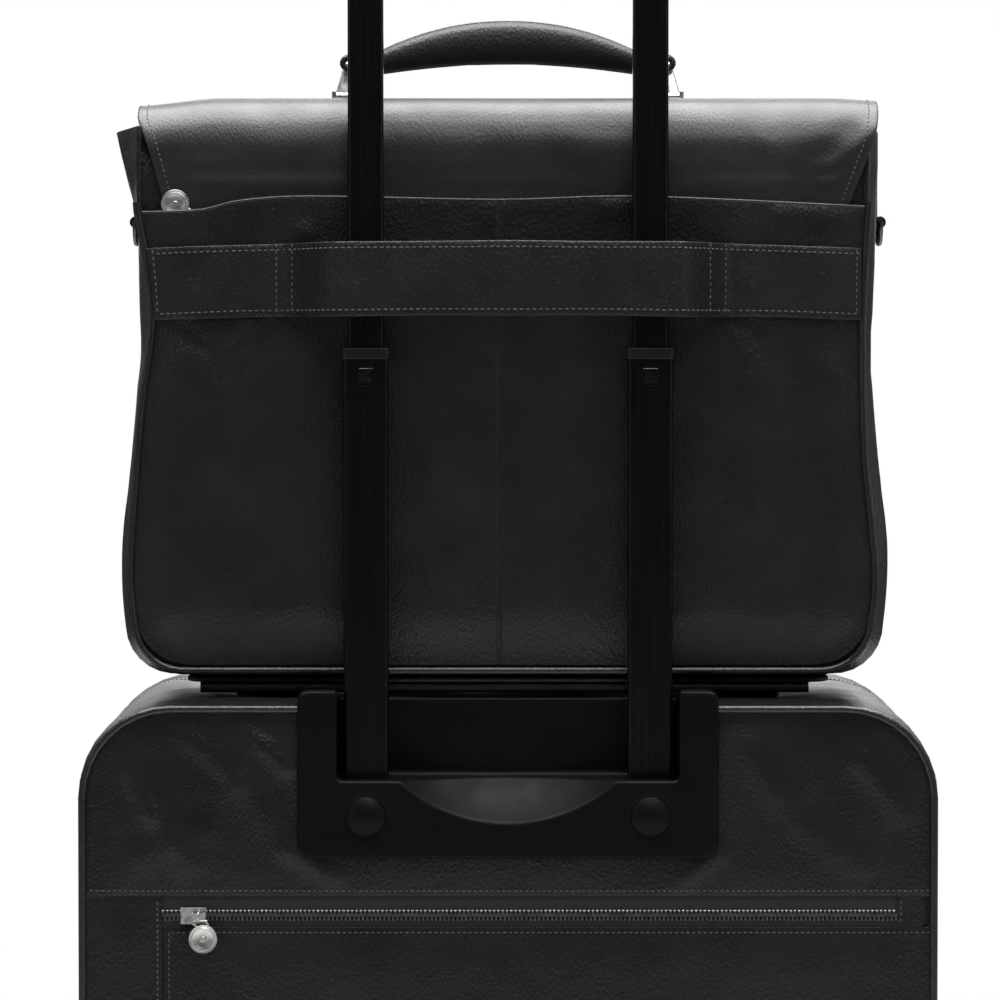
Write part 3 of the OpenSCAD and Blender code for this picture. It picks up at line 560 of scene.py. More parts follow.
def disc_pull(name, centre, across, out, body, node, thick=1.5):
    """A round zipper pull: a dished disc with a raised rim and a small raised boss, both sides."""
    across, out = Vector(across).normalized(), Vector(out).normalized()
    up = out.cross(across)
    profile = [(0.0, 0.62), (0.16, 0.62), (0.2, 0.3), (0.66, 0.3), (0.72, 0.55), (0.8, 0.55),
               (0.84, 0.36), (0.88, 0.5), (0.97, 0.5), (1.0, 0.3), (1.0, -0.3), (0.97, -0.5),
               (0.88, -0.5), (0.84, -0.36), (0.8, -0.55), (0.72, -0.55), (0.66, -0.3), (0.2, -0.3),
               (0.16, -0.62), (0.0, -0.62)]
    count, points = 48, []
    for k in range(count):
        turn = 2 * math.pi * k / count
        spoke = across * math.cos(turn) + up * math.sin(turn)
        for r, h in profile:
            points.append(mm(*(Vector(centre) + spoke * r * PULL_R + out * h * thick)))
    faces = [quad for _, _, quad in grid(count, len(profile), True)]
    obj = add_mesh(name, points, faces, "nickel", body)
    obj.data.set_sharp_from_angle(angle=math.radians(40))
    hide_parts(node)


def pillow(at, low, high, reach):
    """1 well inside low..high, and 0 at both ends."""
    return smooth((at - low) / reach) * smooth((high - at) / reach)


TOOTH_PITCH = 2.4


def zip_teeth(name, half_chains, out, body):
    """Metal zipper teeth. A half chain is its points, the way from the tape to the gap, and a start offset."""
    foot = [(-3.0, -0.75), (-0.6, -0.5), (0.4, -0.68), (0.95, -0.45),
            (0.95, 0.45), (0.4, 0.68), (-0.6, 0.5), (-3.0, 0.75)]
    points, faces = [], []
    for line, way_in, start in half_chains:
        for k, (middle, way) in enumerate(resample(line, TOOTH_PITCH)):
            into = Vector(way_in(middle)) if callable(way_in) else Vector(way_in)
            up = Vector(out(middle)) if callable(out) else Vector(out)
            middle = middle + way * start
            base = len(points)
            for height, size in ((0.0, 1.0), (1.0, 1.0), (1.5, 0.78)):
                for d, s in foot:
                    depth = d * size - 0.3 * (1 - size)
                    points.append(mm(*(middle + into * depth + way * s * size + up * height)))
            turned = way.cross(into).dot(up) > 0
            for level in (0, 8):
                for j in range(8):
                    n = (j + 1) % 8
                    quad = (base + level + j, base + level + 8 + j, base + level + 8 + n, base + level + n)
                    faces.append(quad if turned else quad[::-1])
            top = tuple(base + 16 + j for j in range(8))
            bottom = tuple(base + j for j in range(8))
            faces.append(top[::-1] if turned else top)
            faces.append(bottom if turned else bottom[::-1])
    return add_mesh(name, points, faces, "zip_metal", body, smooth=False)


# ---------------------------------------------------------------- wheeled case: body

shell = Box("case_shell")
housing = Box("handle_housing")
wells = Box("wheel_housings")
yoke = Box("back_yoke")
tyre = Box("wheel_right_tyre")
TOP_R, LOW_R = 54, 30
PIPING_R = 2.2
SEAM_IN = 4.2
WELL_IN = tyre.x0 - 12
UNDER = 11
HOUSING_CUT = housing.x1 - UNDER
OUTSIDE_Y = -200


def off_housing(x, y, z):
    """The leather is cut away behind the housing, and its edge lies hidden under the housing's flange."""
    return not (abs(x) < HOUSING_CUT and z > housing.z0 + UNDER and y < housing.y1 + 0.2)


def off_wells(x, y, z):
    return not (abs(x) > WELL_IN and z < wells.z1 and y < wells.y1)


def case_outline(box, inset=0.0, cell=7, **marks):
    """The outline that the case and its lid share, drawn in by inset."""
    return rounded_outline(*box.face(inset), LOW_R - inset, TOP_R - inset, cell, **marks)


def case_side(p, depth):
    """The side walls swell a little between their two seams, with faint unevenness."""
    x, z, out_x, out_z = p
    seam = SEAM_IN * (1 - smooth((depth - shell.y0) / 26)) + 1.6 * (1 - smooth((shell.y1 - depth) / 20))
    dent = 0.6 * ripple(x + z, depth, 70, 2) + 0.35 * ripple(x - z, depth, 26, 5)
    inside = seam + max(0.0, 0.5 - dent) * smooth((depth - shell.y0) / 20)
    return x - out_x * inside, depth, z - out_z * inside


CUTS_X = (-WELL_IN, WELL_IN, -HOUSING_CUT, HOUSING_CUT)
case_ring = case_outline(shell, marks_x=CUTS_X, marks_z=(wells.z1,))
case_depths = steps(shell.y0, shell.y1, 8,
                    (housing.y1 + 0.2, wells.y1, shell.y0 + 2, shell.y0 + 5, shell.y0 + 12))
case_sides = loft("case_sides", case_ring, case_depths, case_side, "case_leather", "case",
                  lambda x, y, z: off_housing(x, y, z) and off_wells(x, y, z))
thicken(case_sides, 2.6, inner="lining")
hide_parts("case_shell")

back_board = panel("case_back_board", shell.face(SEAM_IN), (LOW_R - SEAM_IN, TOP_R - SEAM_IN),
                   lambda x, z: shell.y0 + 0.2, "case_leather", "case", 12,
                   lambda x, z: off_housing(x, OUTSIDE_Y, z) and off_wells(x, OUTSIDE_Y, z),
                   CUTS_X, (wells.z1, housing.z0 + UNDER))
thicken(back_board, 2.4, inner="lining")

# Folds of the yoke's leather: x0, z0, x1, z1, width, height.
YOKE_FOLDS = [(-212, 346, -198, 321, 5, 1.2), (-181, 368, -149, 339, 6, 1.0), (-148, 371, -123, 346, 4, 1.3),
              (-199, 321, -178, 293, 7, 0.8), (-149, 335, -118, 302, 8, 0.6), (-124, 302, -96, 284, 4, 1.1),
              (118, 300, 96, 281, 4, 0.8), (128, 366, 150, 330, 7, 0.8), (196, 352, 222, 322, 7, 0.9),
              (160, 318, 196, 292, 8, 0.6), (-170, 312, -206, 296, 8, 0.6)]


def yoke_face(x, z):
    puff = pillow(x, yoke.x0, yoke.x1, 26) * pillow(z, yoke.z0 - 6, yoke.z1, 22)
    return yoke.y0 + 0.4 - puff * (1.1 + 0.5 * ripple(x, z, 64, 3) + 0.2 * ripple(x, z, 18, 7)
                                   + 2.0 * folds(x, z, YOKE_FOLDS))


back_yoke = panel("yoke_panel", yoke.face(), (0, TOP_R - SEAM_IN), yoke_face, "case_leather", "case", 4,
                  lambda x, z: off_housing(x, OUTSIDE_Y, z), (-HOUSING_CUT, HOUSING_CUT),
                  (housing.z0 + UNDER,))
thicken(back_yoke, 1.6)
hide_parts("back_yoke")

side = Box("back_side_panel")
pocket = Box("back_pocket_panel")
chain = Box("rear_zip_chain")
patch = (chain.x1 + 0.2, side.x1, chain.z0, chain.z1)


def low_panel_face(x, z):
    puff = pillow(x, pocket.x0, pocket.x1, 30) * pillow(z, pocket.z0, pocket.z1 + 6, 30)
    return pocket.y0 + 0.3 - puff * (1.3 + 0.5 * ripple(x, z, 80, 11) + 0.2 * ripple(x, z, 20, 13))


def side_panel_face(x, z):
    puff = pillow(x, side.x0, chain.x0, 16) * pillow(z, side.z0, side.z1, 24)
    return side.y0 + 0.3 - puff * (1.0 + 0.4 * ripple(x, z, 50, 17))


for name, box, radii, face, node in (
        ("side_panel", (side.x0, chain.x0 - 0.2, side.z0, side.z1), (0, 0), side_panel_face,
         "back_side_panel"),
        ("zip_end_patch", patch, (3, 3), lambda x, z: side.y0 + 0.2, None),
        ("pocket_panel", pocket.face(), (0, 0), low_panel_face, "back_pocket_panel")):
    made = panel(name, box, radii, face, "case_leather", "case", 4)
    thicken(made, 1.6)
    if node:
        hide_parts(node)

TAPE_Y = chain.y0 + 1.6
tape_face = surface("rear_zip_tape", steps(chain.x0 - 1, chain.x1 + 6, 8),
                    steps(chain.z0 - 1, chain.z1 + 1, 4), lambda x, z: (x, TAPE_Y, z), "zip_tape", "case")
thicken(tape_face, 0.7)
zip_z = (chain.z0 + chain.z1) / 2 - 2
rear_line = [(chain.x0, TAPE_Y, zip_z), (chain.x1, TAPE_Y, zip_z)]
rear_teeth = zip_teeth("rear_zip_teeth", [(rear_line, OUT_DOWN, 0.0), (rear_line, OUT_UP, 1.2)], OUT_BACK, "case")
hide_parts("rear_zip_chain")


def on_face(face, line, proud=0.0):
    """A line of (x, z) points laid on a face, densely enough to follow it."""
    result = []
    for (xa, za), (xb, zb) in zip(line, line[1:]):
        count = max(1, int(math.hypot(xb - xa, zb - za) / 6))
        result += [(xa + (xb - xa) * k / count, za + (zb - za) * k / count) for k in range(count)]
    result.append(line[-1])
    return [(x, face(x, z) - proud, z) for x, z in result]


HEM = 3.2
yoke_hem = [(yoke.x0 + 3, yoke.z0 + HEM), (yoke.x1 - 3, yoke.z0 + HEM)]
pocket_hem = [(pocket.x0 + HEM, pocket.z0 + 2), (pocket.x0 + HEM, pocket.z1 - HEM),
              (pocket.x1 - 3, pocket.z1 - HEM)]
side_hem = [(chain.x0 - HEM, side.z0 + 3), (chain.x0 - HEM, side.z1 - 3)]
patch_hem = [(patch[0] + 2.5, patch[2] + 2), (patch[0] + 2.5, patch[3] - 2)]
stitches("yoke_stitches", [on_face(yoke_face, yoke_hem)], OUT_BACK, "case")
stitches("pocket_stitches", [on_face(low_panel_face, pocket_hem)], OUT_BACK, "case")
stitches("side_panel_stitches", [on_face(side_panel_face, side_hem),
                                 on_face(lambda x, z: side.y0 + 0.2, patch_hem)], OUT_BACK, "case")

bead = case_outline(shell, SEAM_IN, 6)
bead_low = Box("base_plate").z1
bead_right = [(x, shell.y0 - 1.6, z) for x, z, *_ in bead if x > HOUSING_CUT + 1 and z > bead_low]
bead_left = [(x, shell.y0 - 1.6, z) for x, z, *_ in bead if x < -HOUSING_CUT - 1 and z > bead_low]
for name, line in (("back_bead_right", bead_right), ("back_bead_left", bead_left)):
    made = tube(name, line, PIPING_R, "piping_leather", "case")
    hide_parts("back_piping")

# ---------------------------------------------------------------- wheeled case: lid

lid = Box("lid_shell")
lid_pocket = Box("lid_pocket_panel")


def lid_side(p, depth):
    x, z, out_x, out_z = p
    inside = 1.6 * (1 - smooth((depth - lid.y0) / 8)) + 2.4 * smooth((depth - lid.y1 + 10) / 10)
    return x - out_x * inside, depth, z - out_z * inside


LID_IN = 2.4
lid_sides = loft("lid_sides", case_outline(lid), steps(lid.y0, lid.y1, 4), lid_side, "case_leather", "lid")
thicken(lid_sides, 2.4, inner="lining")


def lid_face_y(x, z):
    puff = pillow(x, lid.x0, lid.x1, 60) * pillow(z, lid.z0, lid.z1, 60)
    return lid.y1 - 0.6 + puff * (1.6 + 0.6 * ripple(x, z, 75, 21) + 0.2 * ripple(x, z, 20, 23))


lid_face = panel("lid_face", lid.face(LID_IN), (LOW_R - LID_IN, TOP_R - LID_IN), lid_face_y, "case_leather", "lid",
                 6, back=True)
thicken(lid_face, 2.4, inner="lining")
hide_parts("lid_shell")
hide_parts("lid_shell")


def lid_pocket_y(x, z):
    puff = pillow(x, lid_pocket.x0, lid_pocket.x1, 34) * smooth((z - lid_pocket.z0) / 34)
    return lid.y1 + 2.2 + puff * (3.2 + 0.7 * ripple(x, z, 70, 27) + 0.25 * ripple(x, z, 22, 29))


lid_pocket_piece = panel("lid_pocket", lid_pocket.face(), (18, 0), lid_pocket_y, "case_leather", "lid", 5,
                         back=True)
thicken(lid_pocket_piece, 1.8)
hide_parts("lid_pocket_panel")
hem_x0, hem_x1, hem_z0, hem_z1 = lid_pocket.face(HEM)
lid_hems = [[(hem_x0, hem_z1), (hem_x0, hem_z0 + 14), (hem_x0 + 14, hem_z0), (hem_x1 - 14, hem_z0),
             (hem_x1, hem_z0 + 14), (hem_x1, hem_z1)],
            *([(hem_x0, hem_z1 - down), (hem_x1, hem_z1 - down)] for down in (1, 9))]
stitches("lid_pocket_stitches", [on_face(lid_pocket_y, line) for line in lid_hems], OUT_FRONT, "lid")
lid_bead = [(x, lid.y1 + 1.2, z) for x, z, *_ in case_outline(lid, LID_IN, 6)]
made = tube("lid_bead", lid_bead, PIPING_R, "piping_leather", "lid", True)
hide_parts("lid_piping")

# The zipper between case and lid: a tape and a row of teeth on each side, open along the hinge at the bottom.
case_tape = Box("main_zip_case_half")
lid_tape = Box("main_zip_lid_half")
parting = (case_tape.y1 + lid_tape.y0) / 2
HINGE_Z = lid.z0 + 8
TAPE_IN = 2.2
zip_ring = case_outline(lid, cell=6)
first = next(i for i, p in enumerate(zip_ring) if p[0] > 0 and p[1] > HINGE_Z)
zip_path = [p for p in zip_ring[first:] + zip_ring[:first] if p[1] > HINGE_Z]


def zip_out(middle):
    """The way out of the case at a point on its rim."""
    cx = max(lid.x0 + TOP_R, min(lid.x1 - TOP_R, middle.x))
    cz = max(lid.z0 + LOW_R, min(lid.z1 - TOP_R, middle.z))
    away = Vector((middle.x - cx, 0, middle.z - cz))
    return away.normalized() if away.length > 1 else Vector((0, 0, 1))


for name, node, body, y0, y1, into, start in (
        ("main_zip_case", "main_zip_case_half", "case", shell.y1 - 1.0, case_tape.y1 - 0.8, (0, 1, 0), 0.0),
        ("main_zip_lid", "main_zip_lid_half", "lid", lid_tape.y0 + 0.8, lid.y0 + 1.0, (0, -1, 0), 1.2)):
    band = loft(name + "_tape", case_outline(lid), [y0, (y0 + y1) / 2, y1],
                lambda p, d: (p[0] - p[2] * TAPE_IN, d, p[1] - p[3] * TAPE_IN), "zip_tape", body)
    thicken(band, 0.8, edge=0)
    line = [(x - ox * TAPE_IN, parting, z - oz * TAPE_IN) for x, z, ox, oz in zip_path]
    teeth = zip_teeth(name + "_teeth", [(line, into, start)], zip_out, body)
    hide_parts(node)

# ---------------------------------------------------------------- wheeled case: carry handle

carry = Box("carry_handle")
carry_mid = (carry.y0 + carry.y1) / 2


def carry_top(x, y):
    crown = 0.5 * smooth((carry.y1 - y) / 6) * smooth((y - carry.y0) / 6)
    return carry.z1 - 0.4 + crown + 0.15 * ripple(x, y, 30, 31)


def carry_half(x):
    """Half the strap's width: it narrows to rounded tongues at its ends."""
    end = max(0.0, abs(x) - (carry.x1 - 12))
    return (carry.y1 - carry.y0) / 2 * math.sqrt(max(0.02, 1 - (end / 12) ** 2))


def carry_point(x, s):
    y = carry_mid + s * carry_half(x)
    return x, y, carry_top(x, y)


carry_strap = surface("carry_strap", steps(carry.x0, carry.x1, 4), [k / 8 for k in range(-8, 9)], carry_point,
                      "strap_leather", "carry_handle")
thicken(carry_strap, 2.4)
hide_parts("carry_handle")
carry_line = [(x, carry_mid + side_of * (carry_half(x) - 3), carry_top(x, carry_mid) + 0.1)
              for side_of, xs in ((1, range(int(carry.x0) + 5, int(carry.x1) - 4, 4)),
                                  (-1, range(int(carry.x1) - 5, int(carry.x0) + 4, -4))) for x in xs]
stitches("carry_stitches", [[*carry_line, carry_line[0]]], OUT_UP, "carry_handle")

# ---------------------------------------------------------------- housing and grip

moulding("housing_shell", "handle_housing", "housing_plastic", "case", 1.3, 5)
moulding("hand_grip", "grip", "handle_plastic", "handle_upper", 0.9, 6)

# ---------------------------------------------------------------- briefcase

back = Box("bag_back_panel")
gusset = Box("bag_gusset")
slip = Box("slip_pocket")
strap = Box("trolley_strap")
front_pocket = Box("bag_front_pocket")
bag_front = Box("bag_front_panel")
base = Box("bag_base")
flap_top = Box("flap_top")
flap_tail = Box("flap_back")
flap_drop = Box("flap_front")
grip = Box("grip")
BAG_R = 28

# Where the soft side edges stand at each height above the floor, seen from the handle side.
LEFT_EDGE = [(402, -207), (446, -213), (485, -211.5), (552, -206), (594, -200.5), (630, -203.5), (660, -209)]
RIGHT_EDGE = [(402, 200), (446, 207), (485, 204.5), (520, 201), (594, 199.5), (630, 201), (660, 203)]
LEFT_BULGE = [(395, -212), (430, -218.5), (470, -219.5), (520, -214), (570, -210), (620, -209.6), (655, -211),
              (680, -217), (703, -222.5)]
RIGHT_BULGE = [(395, 208), (430, 214.5), (470, 216), (520, 210.5), (570, 207), (620, 208), (655, 209.8),
               (704, 210)]
LIP = [(-210, 656.8), (-172, 658.2), (-152, 663), (-116, 665.6), (-5, 663.8), (70, 665.6), (202, 660)]


def bag_outline(t, left_table, right_table, low, high):
    """A point on the U from the top left, down, along the bottom and up to the top right: t from 0 to 1."""
    left = t < 0.5
    s = 2 * t if left else 2 * (1 - t)
    table = left_table if left else right_table
    drop = high - low - BAG_R
    across = abs(along(table, low + BAG_R)) - BAG_R
    whole = drop + math.pi / 2 * BAG_R + across
    at = s * whole
    sign = -1 if left else 1
    if at < drop:
        z = high - at
        return along(table, z), z
    at -= drop
    if at < math.pi / 2 * BAG_R:
        turn = at / BAG_R
        edge = abs(along(table, low + BAG_R))
        return sign * (edge - BAG_R + BAG_R * math.cos(turn)), low + BAG_R - BAG_R * math.sin(turn)
    at -= math.pi / 2 * BAG_R
    return sign * (across - at), low


def mix(a, b, t):
    return a + (b - a) * t


# Body: the leather round the sides and the bottom, between the back seam and the front seam.
GUSSET_TOP = gusset.z1
BACK_WALL_TOP = GUSSET_TOP + 2
SEAM_BACK_Y = back.y0 - 1.5
SEAM_FRONT_Y = bag_front.y1
BACK_LOW = back.z0 + 4
FRONT_LOW = back.z0 + 1.5
FRONT_WIDTH = 0.985


def gusset_point(t, s):
    """s runs from the back seam to the front seam. The side creases inwards down its middle."""
    y = mix(SEAM_BACK_Y, SEAM_FRONT_Y, s)
    seam_x, seam_z = bag_outline(t, LEFT_EDGE, RIGHT_EDGE, BACK_LOW, GUSSET_TOP + 3)
    full_x, full_z = bag_outline(t, LEFT_BULGE, RIGHT_BULGE, back.z0 + 0.6, GUSSET_TOP)
    front_x, front_z = bag_outline(t, LEFT_BULGE, RIGHT_BULGE, FRONT_LOW, GUSSET_TOP)
    front_x *= FRONT_WIDTH
    if s < 0.5:
        share = smooth(s / 0.22)
        x, z = mix(seam_x, full_x, share), mix(seam_z, full_z, share)
    else:
        share = smooth((1 - s) / 0.2)
        x, z = mix(front_x, full_x, share), mix(front_z, full_z, share)
    on_side = smooth((z - back.z0 - 40) / 120)
    crease = 3.4 * on_side * math.exp(-((s - 0.48) / 0.12) ** 2)
    puff = 0.8 * ripple(z, y, 46, 37 if x < 0 else 39) + 0.3 * ripple(z, y, 16, 41)
    x -= math.copysign(crease + max(0.0, puff) * on_side, x)
    return x, y, z


bag_sides = surface("bag_sides", [1 - k / 150 for k in range(151)], [k / 26 for k in range(27)], gusset_point,
                    "bag_leather", "briefcase")
thicken(bag_sides, 2.2, inner="lining")
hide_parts("bag_gusset")


def wall_x(u, z, left, right, low):
    """x across a wall of the body between two side tables, round at its lower corners."""
    inset = low_corner_inset(z, low, BAG_R)
    return mix(along(left, z) + inset, along(right, z) - inset, u)


def back_panel_point(u, z):
    x = wall_x(u, min(z, GUSSET_TOP), LEFT_EDGE, RIGHT_EDGE, BACK_LOW)
    lean = 6.0 * smooth((z - 680) / 22)
    return x, back.y0 + 0.2 + 0.8 * ripple(x, z, 60, 43) * pillow(z, slip.z1, 692, 18) + lean, z


back_wall = surface("bag_back_wall", [k / 60 for k in range(61)],
                    steps(BACK_LOW, BACK_WALL_TOP, 8, corner_rows(BACK_LOW, BAG_R)),
                    back_panel_point, "bag_leather", "briefcase")
thicken(back_wall, 2.2, inner="lining")
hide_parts("bag_back_panel")

# Folds of the back pocket: x0, z0, x1, z1, width, height.
POCKET_FOLDS = [(-199, 592, -184, 574, 3.5, 2.0), (-188, 597, -170, 581, 4, -1.8), (-146, 594, -160, 566, 5, 1.5),
                (-134, 594, -144, 572, 5, -1.0), (121, 595, 137, 570, 5, 1.7), (140, 594, 158, 566, 6, -1.0),
                (172, 574, 197, 558, 8, 1.3), (-197, 560, -186, 520, 8, 0.8), (-116, 648, -113, 643, 4, 1.6),
                (52, 660, 74, 660, 3, 1.0), (150, 656, 196, 653, 3, 1.1), (192, 655, 196, 600, 6, 1.0),
                (-196, 650, -176, 640, 7, 0.9), (-110, 560, -112, 440, 14, 1.0), (112, 540, 116, 440, 14, 0.8),
                (-40, 600, -44, 420, 16, 0.7), (30, 600, 34, 420, 16, 0.6), (180, 470, 196, 430, 10, 0.9),
                (-198, 470, -184, 428, 9, 0.9)]
CENTRE_SEAM = -5
POCKET_LIMIT = grip.y1 + 1.0


def pocket_edges(z):
    inset = low_corner_inset(z, slip.z0, BAG_R)
    return along(LEFT_EDGE, z) + inset, along(RIGHT_EDGE, z) - inset


def pocket_face(x, z):
    """The back pocket's outer face: it swells off its seams and hangs in soft folds."""
    left, right = pocket_edges(z)
    off_seam = smooth((x - left) / 24) * smooth((right - x) / 24) * smooth((z - slip.z0) / 34)
    swell = 4.6 + 0.6 * ripple(x, z, 90, 47) + 0.35 * ripple(x, z, 34, 49) + 0.12 * ripple(x, z, 12, 51)
    swell += folds(x, z, POCKET_FOLDS) * smooth((x - left) / 8) * smooth((right - x) / 8)
    y = slip.y1 - 2.6 - off_seam * swell
    y += 1.2 * math.exp(-((x - CENTRE_SEAM) / 1.2) ** 2)
    near_tubes = smooth((112 - abs(x)) / 14)
    return max(y, mix(POCKET_LIMIT - 6, POCKET_LIMIT, near_tubes))


SEAM_U = 0.49
LIP_X0, LIP_X1 = -206, 202
SLIP_TALL = 262
pocket_columns = sorted({k / 130 for k in range(131)}
                        | {SEAM_U + d / 400 for d in (-2.4, -1.6, -0.8, 0, 0.8, 1.6, 2.4)})


def pocket_point(u, v):
    """u from 0 to 1 across, v from 0 at the bottom to 1 at the lip."""
    top = along(LIP, mix(LIP_X0, LIP_X1, u))
    z = mix(slip.z0, top, v)
    left, right = pocket_edges(z)
    if u < SEAM_U:
        x = mix(left, CENTRE_SEAM, u / SEAM_U)
    else:
        x = mix(CENTRE_SEAM, right, (u - SEAM_U) / (1 - SEAM_U))
    return x, pocket_face(x, z), z


pocket_rows = sorted({k / 66 for k in range(67)}
                     | {BAG_R * (1 - math.cos(math.radians(12 * k))) / SLIP_TALL for k in range(8)})
slip_piece = surface("slip_pocket_panel", pocket_columns, pocket_rows, pocket_point, "bag_leather", "briefcase")
thicken(slip_piece, 1.6)
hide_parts("slip_pocket")

lip_line = [(x, pocket_face(x, along(LIP, x)) + 0.6, along(LIP, x) + 0.2) for x in steps(LIP_X0, 201, 5)]
tube("slip_pocket_edge", lip_line, 0.95, "piping_leather", "briefcase")
centre_line = [(CENTRE_SEAM + 0.6, 410), (CENTRE_SEAM + 0.6, 662)]
stitches("slip_centre_stitches", [on_face(pocket_face, centre_line, -0.6)], OUT_BACK, "briefcase",
         length=1.6, pitch=3.4, radius=0.25)

# Beads along both seams of the briefcase.
for name, left, right, low, high, width, y in (
        ("bag_back_bead", LEFT_EDGE, RIGHT_EDGE, BACK_LOW, back.z0 + 268, 1.0, back.y0 - 2.6),
        ("bag_front_bead", LEFT_BULGE, RIGHT_BULGE, FRONT_LOW, GUSSET_TOP, FRONT_WIDTH, bag_front.y1 + 1.0)):
    line = [bag_outline(k / 160, left, right, low, high) for k in range(161)]
    made = tube(name, [(x * width, y, z) for x, z in line], PIPING_R, "piping_leather", "briefcase")
    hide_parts("bag_piping")


def front_wall_point(u, z):
    x = FRONT_WIDTH * wall_x(u, z, LEFT_BULGE, RIGHT_BULGE, FRONT_LOW)
    return x, bag_front.y1 + 0.8 + 0.8 * ripple(0, z, 60, 53), z


front_wall = surface("bag_front_wall", [1 - k / 60 for k in range(61)],
                     steps(FRONT_LOW, GUSSET_TOP, 8, corner_rows(FRONT_LOW, BAG_R)),
                     front_wall_point, "bag_leather", "briefcase")
thicken(front_wall, 2.2, inner="lining")
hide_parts("bag_front_panel")


SIM_FRAMES = 20


def inflate(obj, voxel, pressure, cap, pins=None):
    """Swells a closed mesh with a cloth simulation, holding each point within cap of where it began."""
    voxel_skin(obj, voxel)
    bake(obj)
    start = [v.co.copy() for v in obj.data.vertices]
    cloth = obj.modifiers.new("cloth", "CLOTH")
    settings = cloth.settings
    settings.quality = 6
    settings.mass = 0.3
    settings.use_pressure = True
    settings.uniform_pressure_force = pressure
    settings.tension_stiffness = 25
    settings.bending_stiffness = 2
    settings.effector_weights.gravity = 0
    if pins:
        group = obj.vertex_groups.new(name="pins")
        group.add([v.index for v in obj.data.vertices if pins(v.co / MM)], 1.0, "REPLACE")
        settings.vertex_group_mass = "pins"
    scene = bpy.context.scene
    scene.frame_start = 1
    scene.frame_end = SIM_FRAMES
    for number in range(1, SIM_FRAMES + 1):
        scene.frame_set(number)
    for vertex, was in zip(bake(obj).vertices, start):
        step = vertex.co - was
        if step.length > cap * MM:
            vertex.co = was + step.normalized() * cap * MM
    scene.frame_set(1)
    relax = obj.modifiers.new("relax", "SMOOTH")
    relax.iterations = 4
    divide = obj.modifiers.new("finer", "SUBSURF")
    divide.levels = 1
    divide.render_levels = 1
    obj.data.shade_smooth()
    return obj


def slab(name, ring, y0, y1, material, layers, shrink):
    """A closed flat pad with that outline between two planes."""
    count = len(ring)
    points, faces = [], []
    for k in range(layers + 1):
        y = mix(y0, y1, k / layers)
        for x, z, ox, oz in ring:
            points.append(mm(x - ox * shrink, y, z - oz * shrink))
    for k in range(layers):
        for i in range(count):
            n = (i + 1) % count
            faces.append((k * count + i, (k + 1) * count + i, (k + 1) * count + n, k * count + n))
    faces.append(tuple(range(count)))
    faces.append(tuple(range((layers + 1) * count - 1, layers * count - 1, -1)))
    return add_mesh(name, points, faces, material)


# Padded wall between the laptop and the files.
divider = Box("laptop_divider")
divider_pad = slab("divider_pad", rounded_outline(*divider.face(), 26, 6, 12), divider.y0 + 1.5, divider.y1 - 1.5,
                   "lining", 2, 1.5)
inflate(divider_pad, 3.5, 2.5, 3.0)
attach(divider_pad, "briefcase")
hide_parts("laptop_divider")
binding = [(x, (divider.y0 + divider.y1) / 2, z) for x, z, *_ in rounded_outline(*divider.face(1.5), 26, 6, 8)]
tube("divider_binding", binding, 2.6, "piping_leather", "briefcase", True)

# Front pocket: a filled pocket with a gathered look, held in place on the face that lies on the briefcase.
front_pad = slab("front_pocket_pad", rounded_outline(*front_pocket.face(), 26, 8, 12),
                 front_pocket.y0 + 0.5, front_pocket.y1 - 4, "bag_leather", 3, 2.5)
inflate(front_pad, 4.5, 5.0, 6.0, pins=lambda p: p.y < front_pocket.y0 + 3)
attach(front_pad, "briefcase")
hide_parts("bag_front_pocket")

# Stiffened bottom.
base_ring = rounded_outline(base.x0, base.x1, base.y0, base.y1, 14, 14, 8)
points = [mm(x, y, base.z0 + 0.3) for x, y, *_ in base_ring]
base_board = add_mesh("bag_base_board", points, [tuple(range(len(points)))[::-1]], "strap_leather",
                      "briefcase", smooth=False)
thicken(base_board, 2.6, edge=1.0)
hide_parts("bag_base")
ring_in = rounded_outline(base.x0 + 4, base.x1 - 4, base.y0 + 4, base.y1 - 4, 11, 11, 8)
base_line = [(x, y, base.z0 + 0.3) for x, y, *_ in [*ring_in, ring_in[0]]]
stitches("bag_base_stitches", [base_line], OUT_DOWN, "briefcase")

# A dark round bead under the back edge of the bottom: painted shade, a dark piece standing in for the shade in the
# gap between the briefcase and the case.
SHADE_BEAD_R = 3.1
shade_bead_line = [(x, base.y0 + 4.5, base.z0 - 2.8 + 0.25 * ripple(x, 0, 60, 81)) for x in steps(-174, 170, 6)]
tube("bag_base_shade_bead", shade_bead_line, SHADE_BEAD_R, "strap_leather", "briefcase")

# ---------------------------------------------------------------- strap over the handle tubes

SHOULDER = grip.x1 + 3
LOOP_END = 126
SEWN_IN = 113


def strap_mid(x):
    return 617.4 + 2.6 * (1 - (x / 200) ** 2) - 0.012 * (abs(x) > 150) * (abs(x) - 150)


def strap_height(x):
    return 41.4 + 0.8 * math.cos(x / 60)


def strap_face(x, z):
    """The strap's outer face: sewn flat on the pocket at both ends, and bowed out over the tubes between."""
    flat = pocket_face(x, z) - 2.5
    out = strap.y0 + 0.3 + 0.25 * ripple(x, z, 40, 59)
    share = min(1.0, max(0.0, (LOOP_END - abs(x)) / (LOOP_END - SHOULDER)))
    return mix(flat, out, 0.45 * share + 0.55 * smooth(share))


def strap_point(x, s):
    """s runs from -1 at the strap's lower edge to 1 at its upper edge."""
    half = strap_height(x) / 2
    z = strap_mid(x) + s * half
    x += max(0.0, -x - 190) / 12 * (along(LEFT_EDGE, z) + 1.0 - strap_xs[0])
    return x, strap_face(x, z) + 0.4 * abs(s) ** 6, z + 0.6 * ripple(x, 0, 70, 61) * s


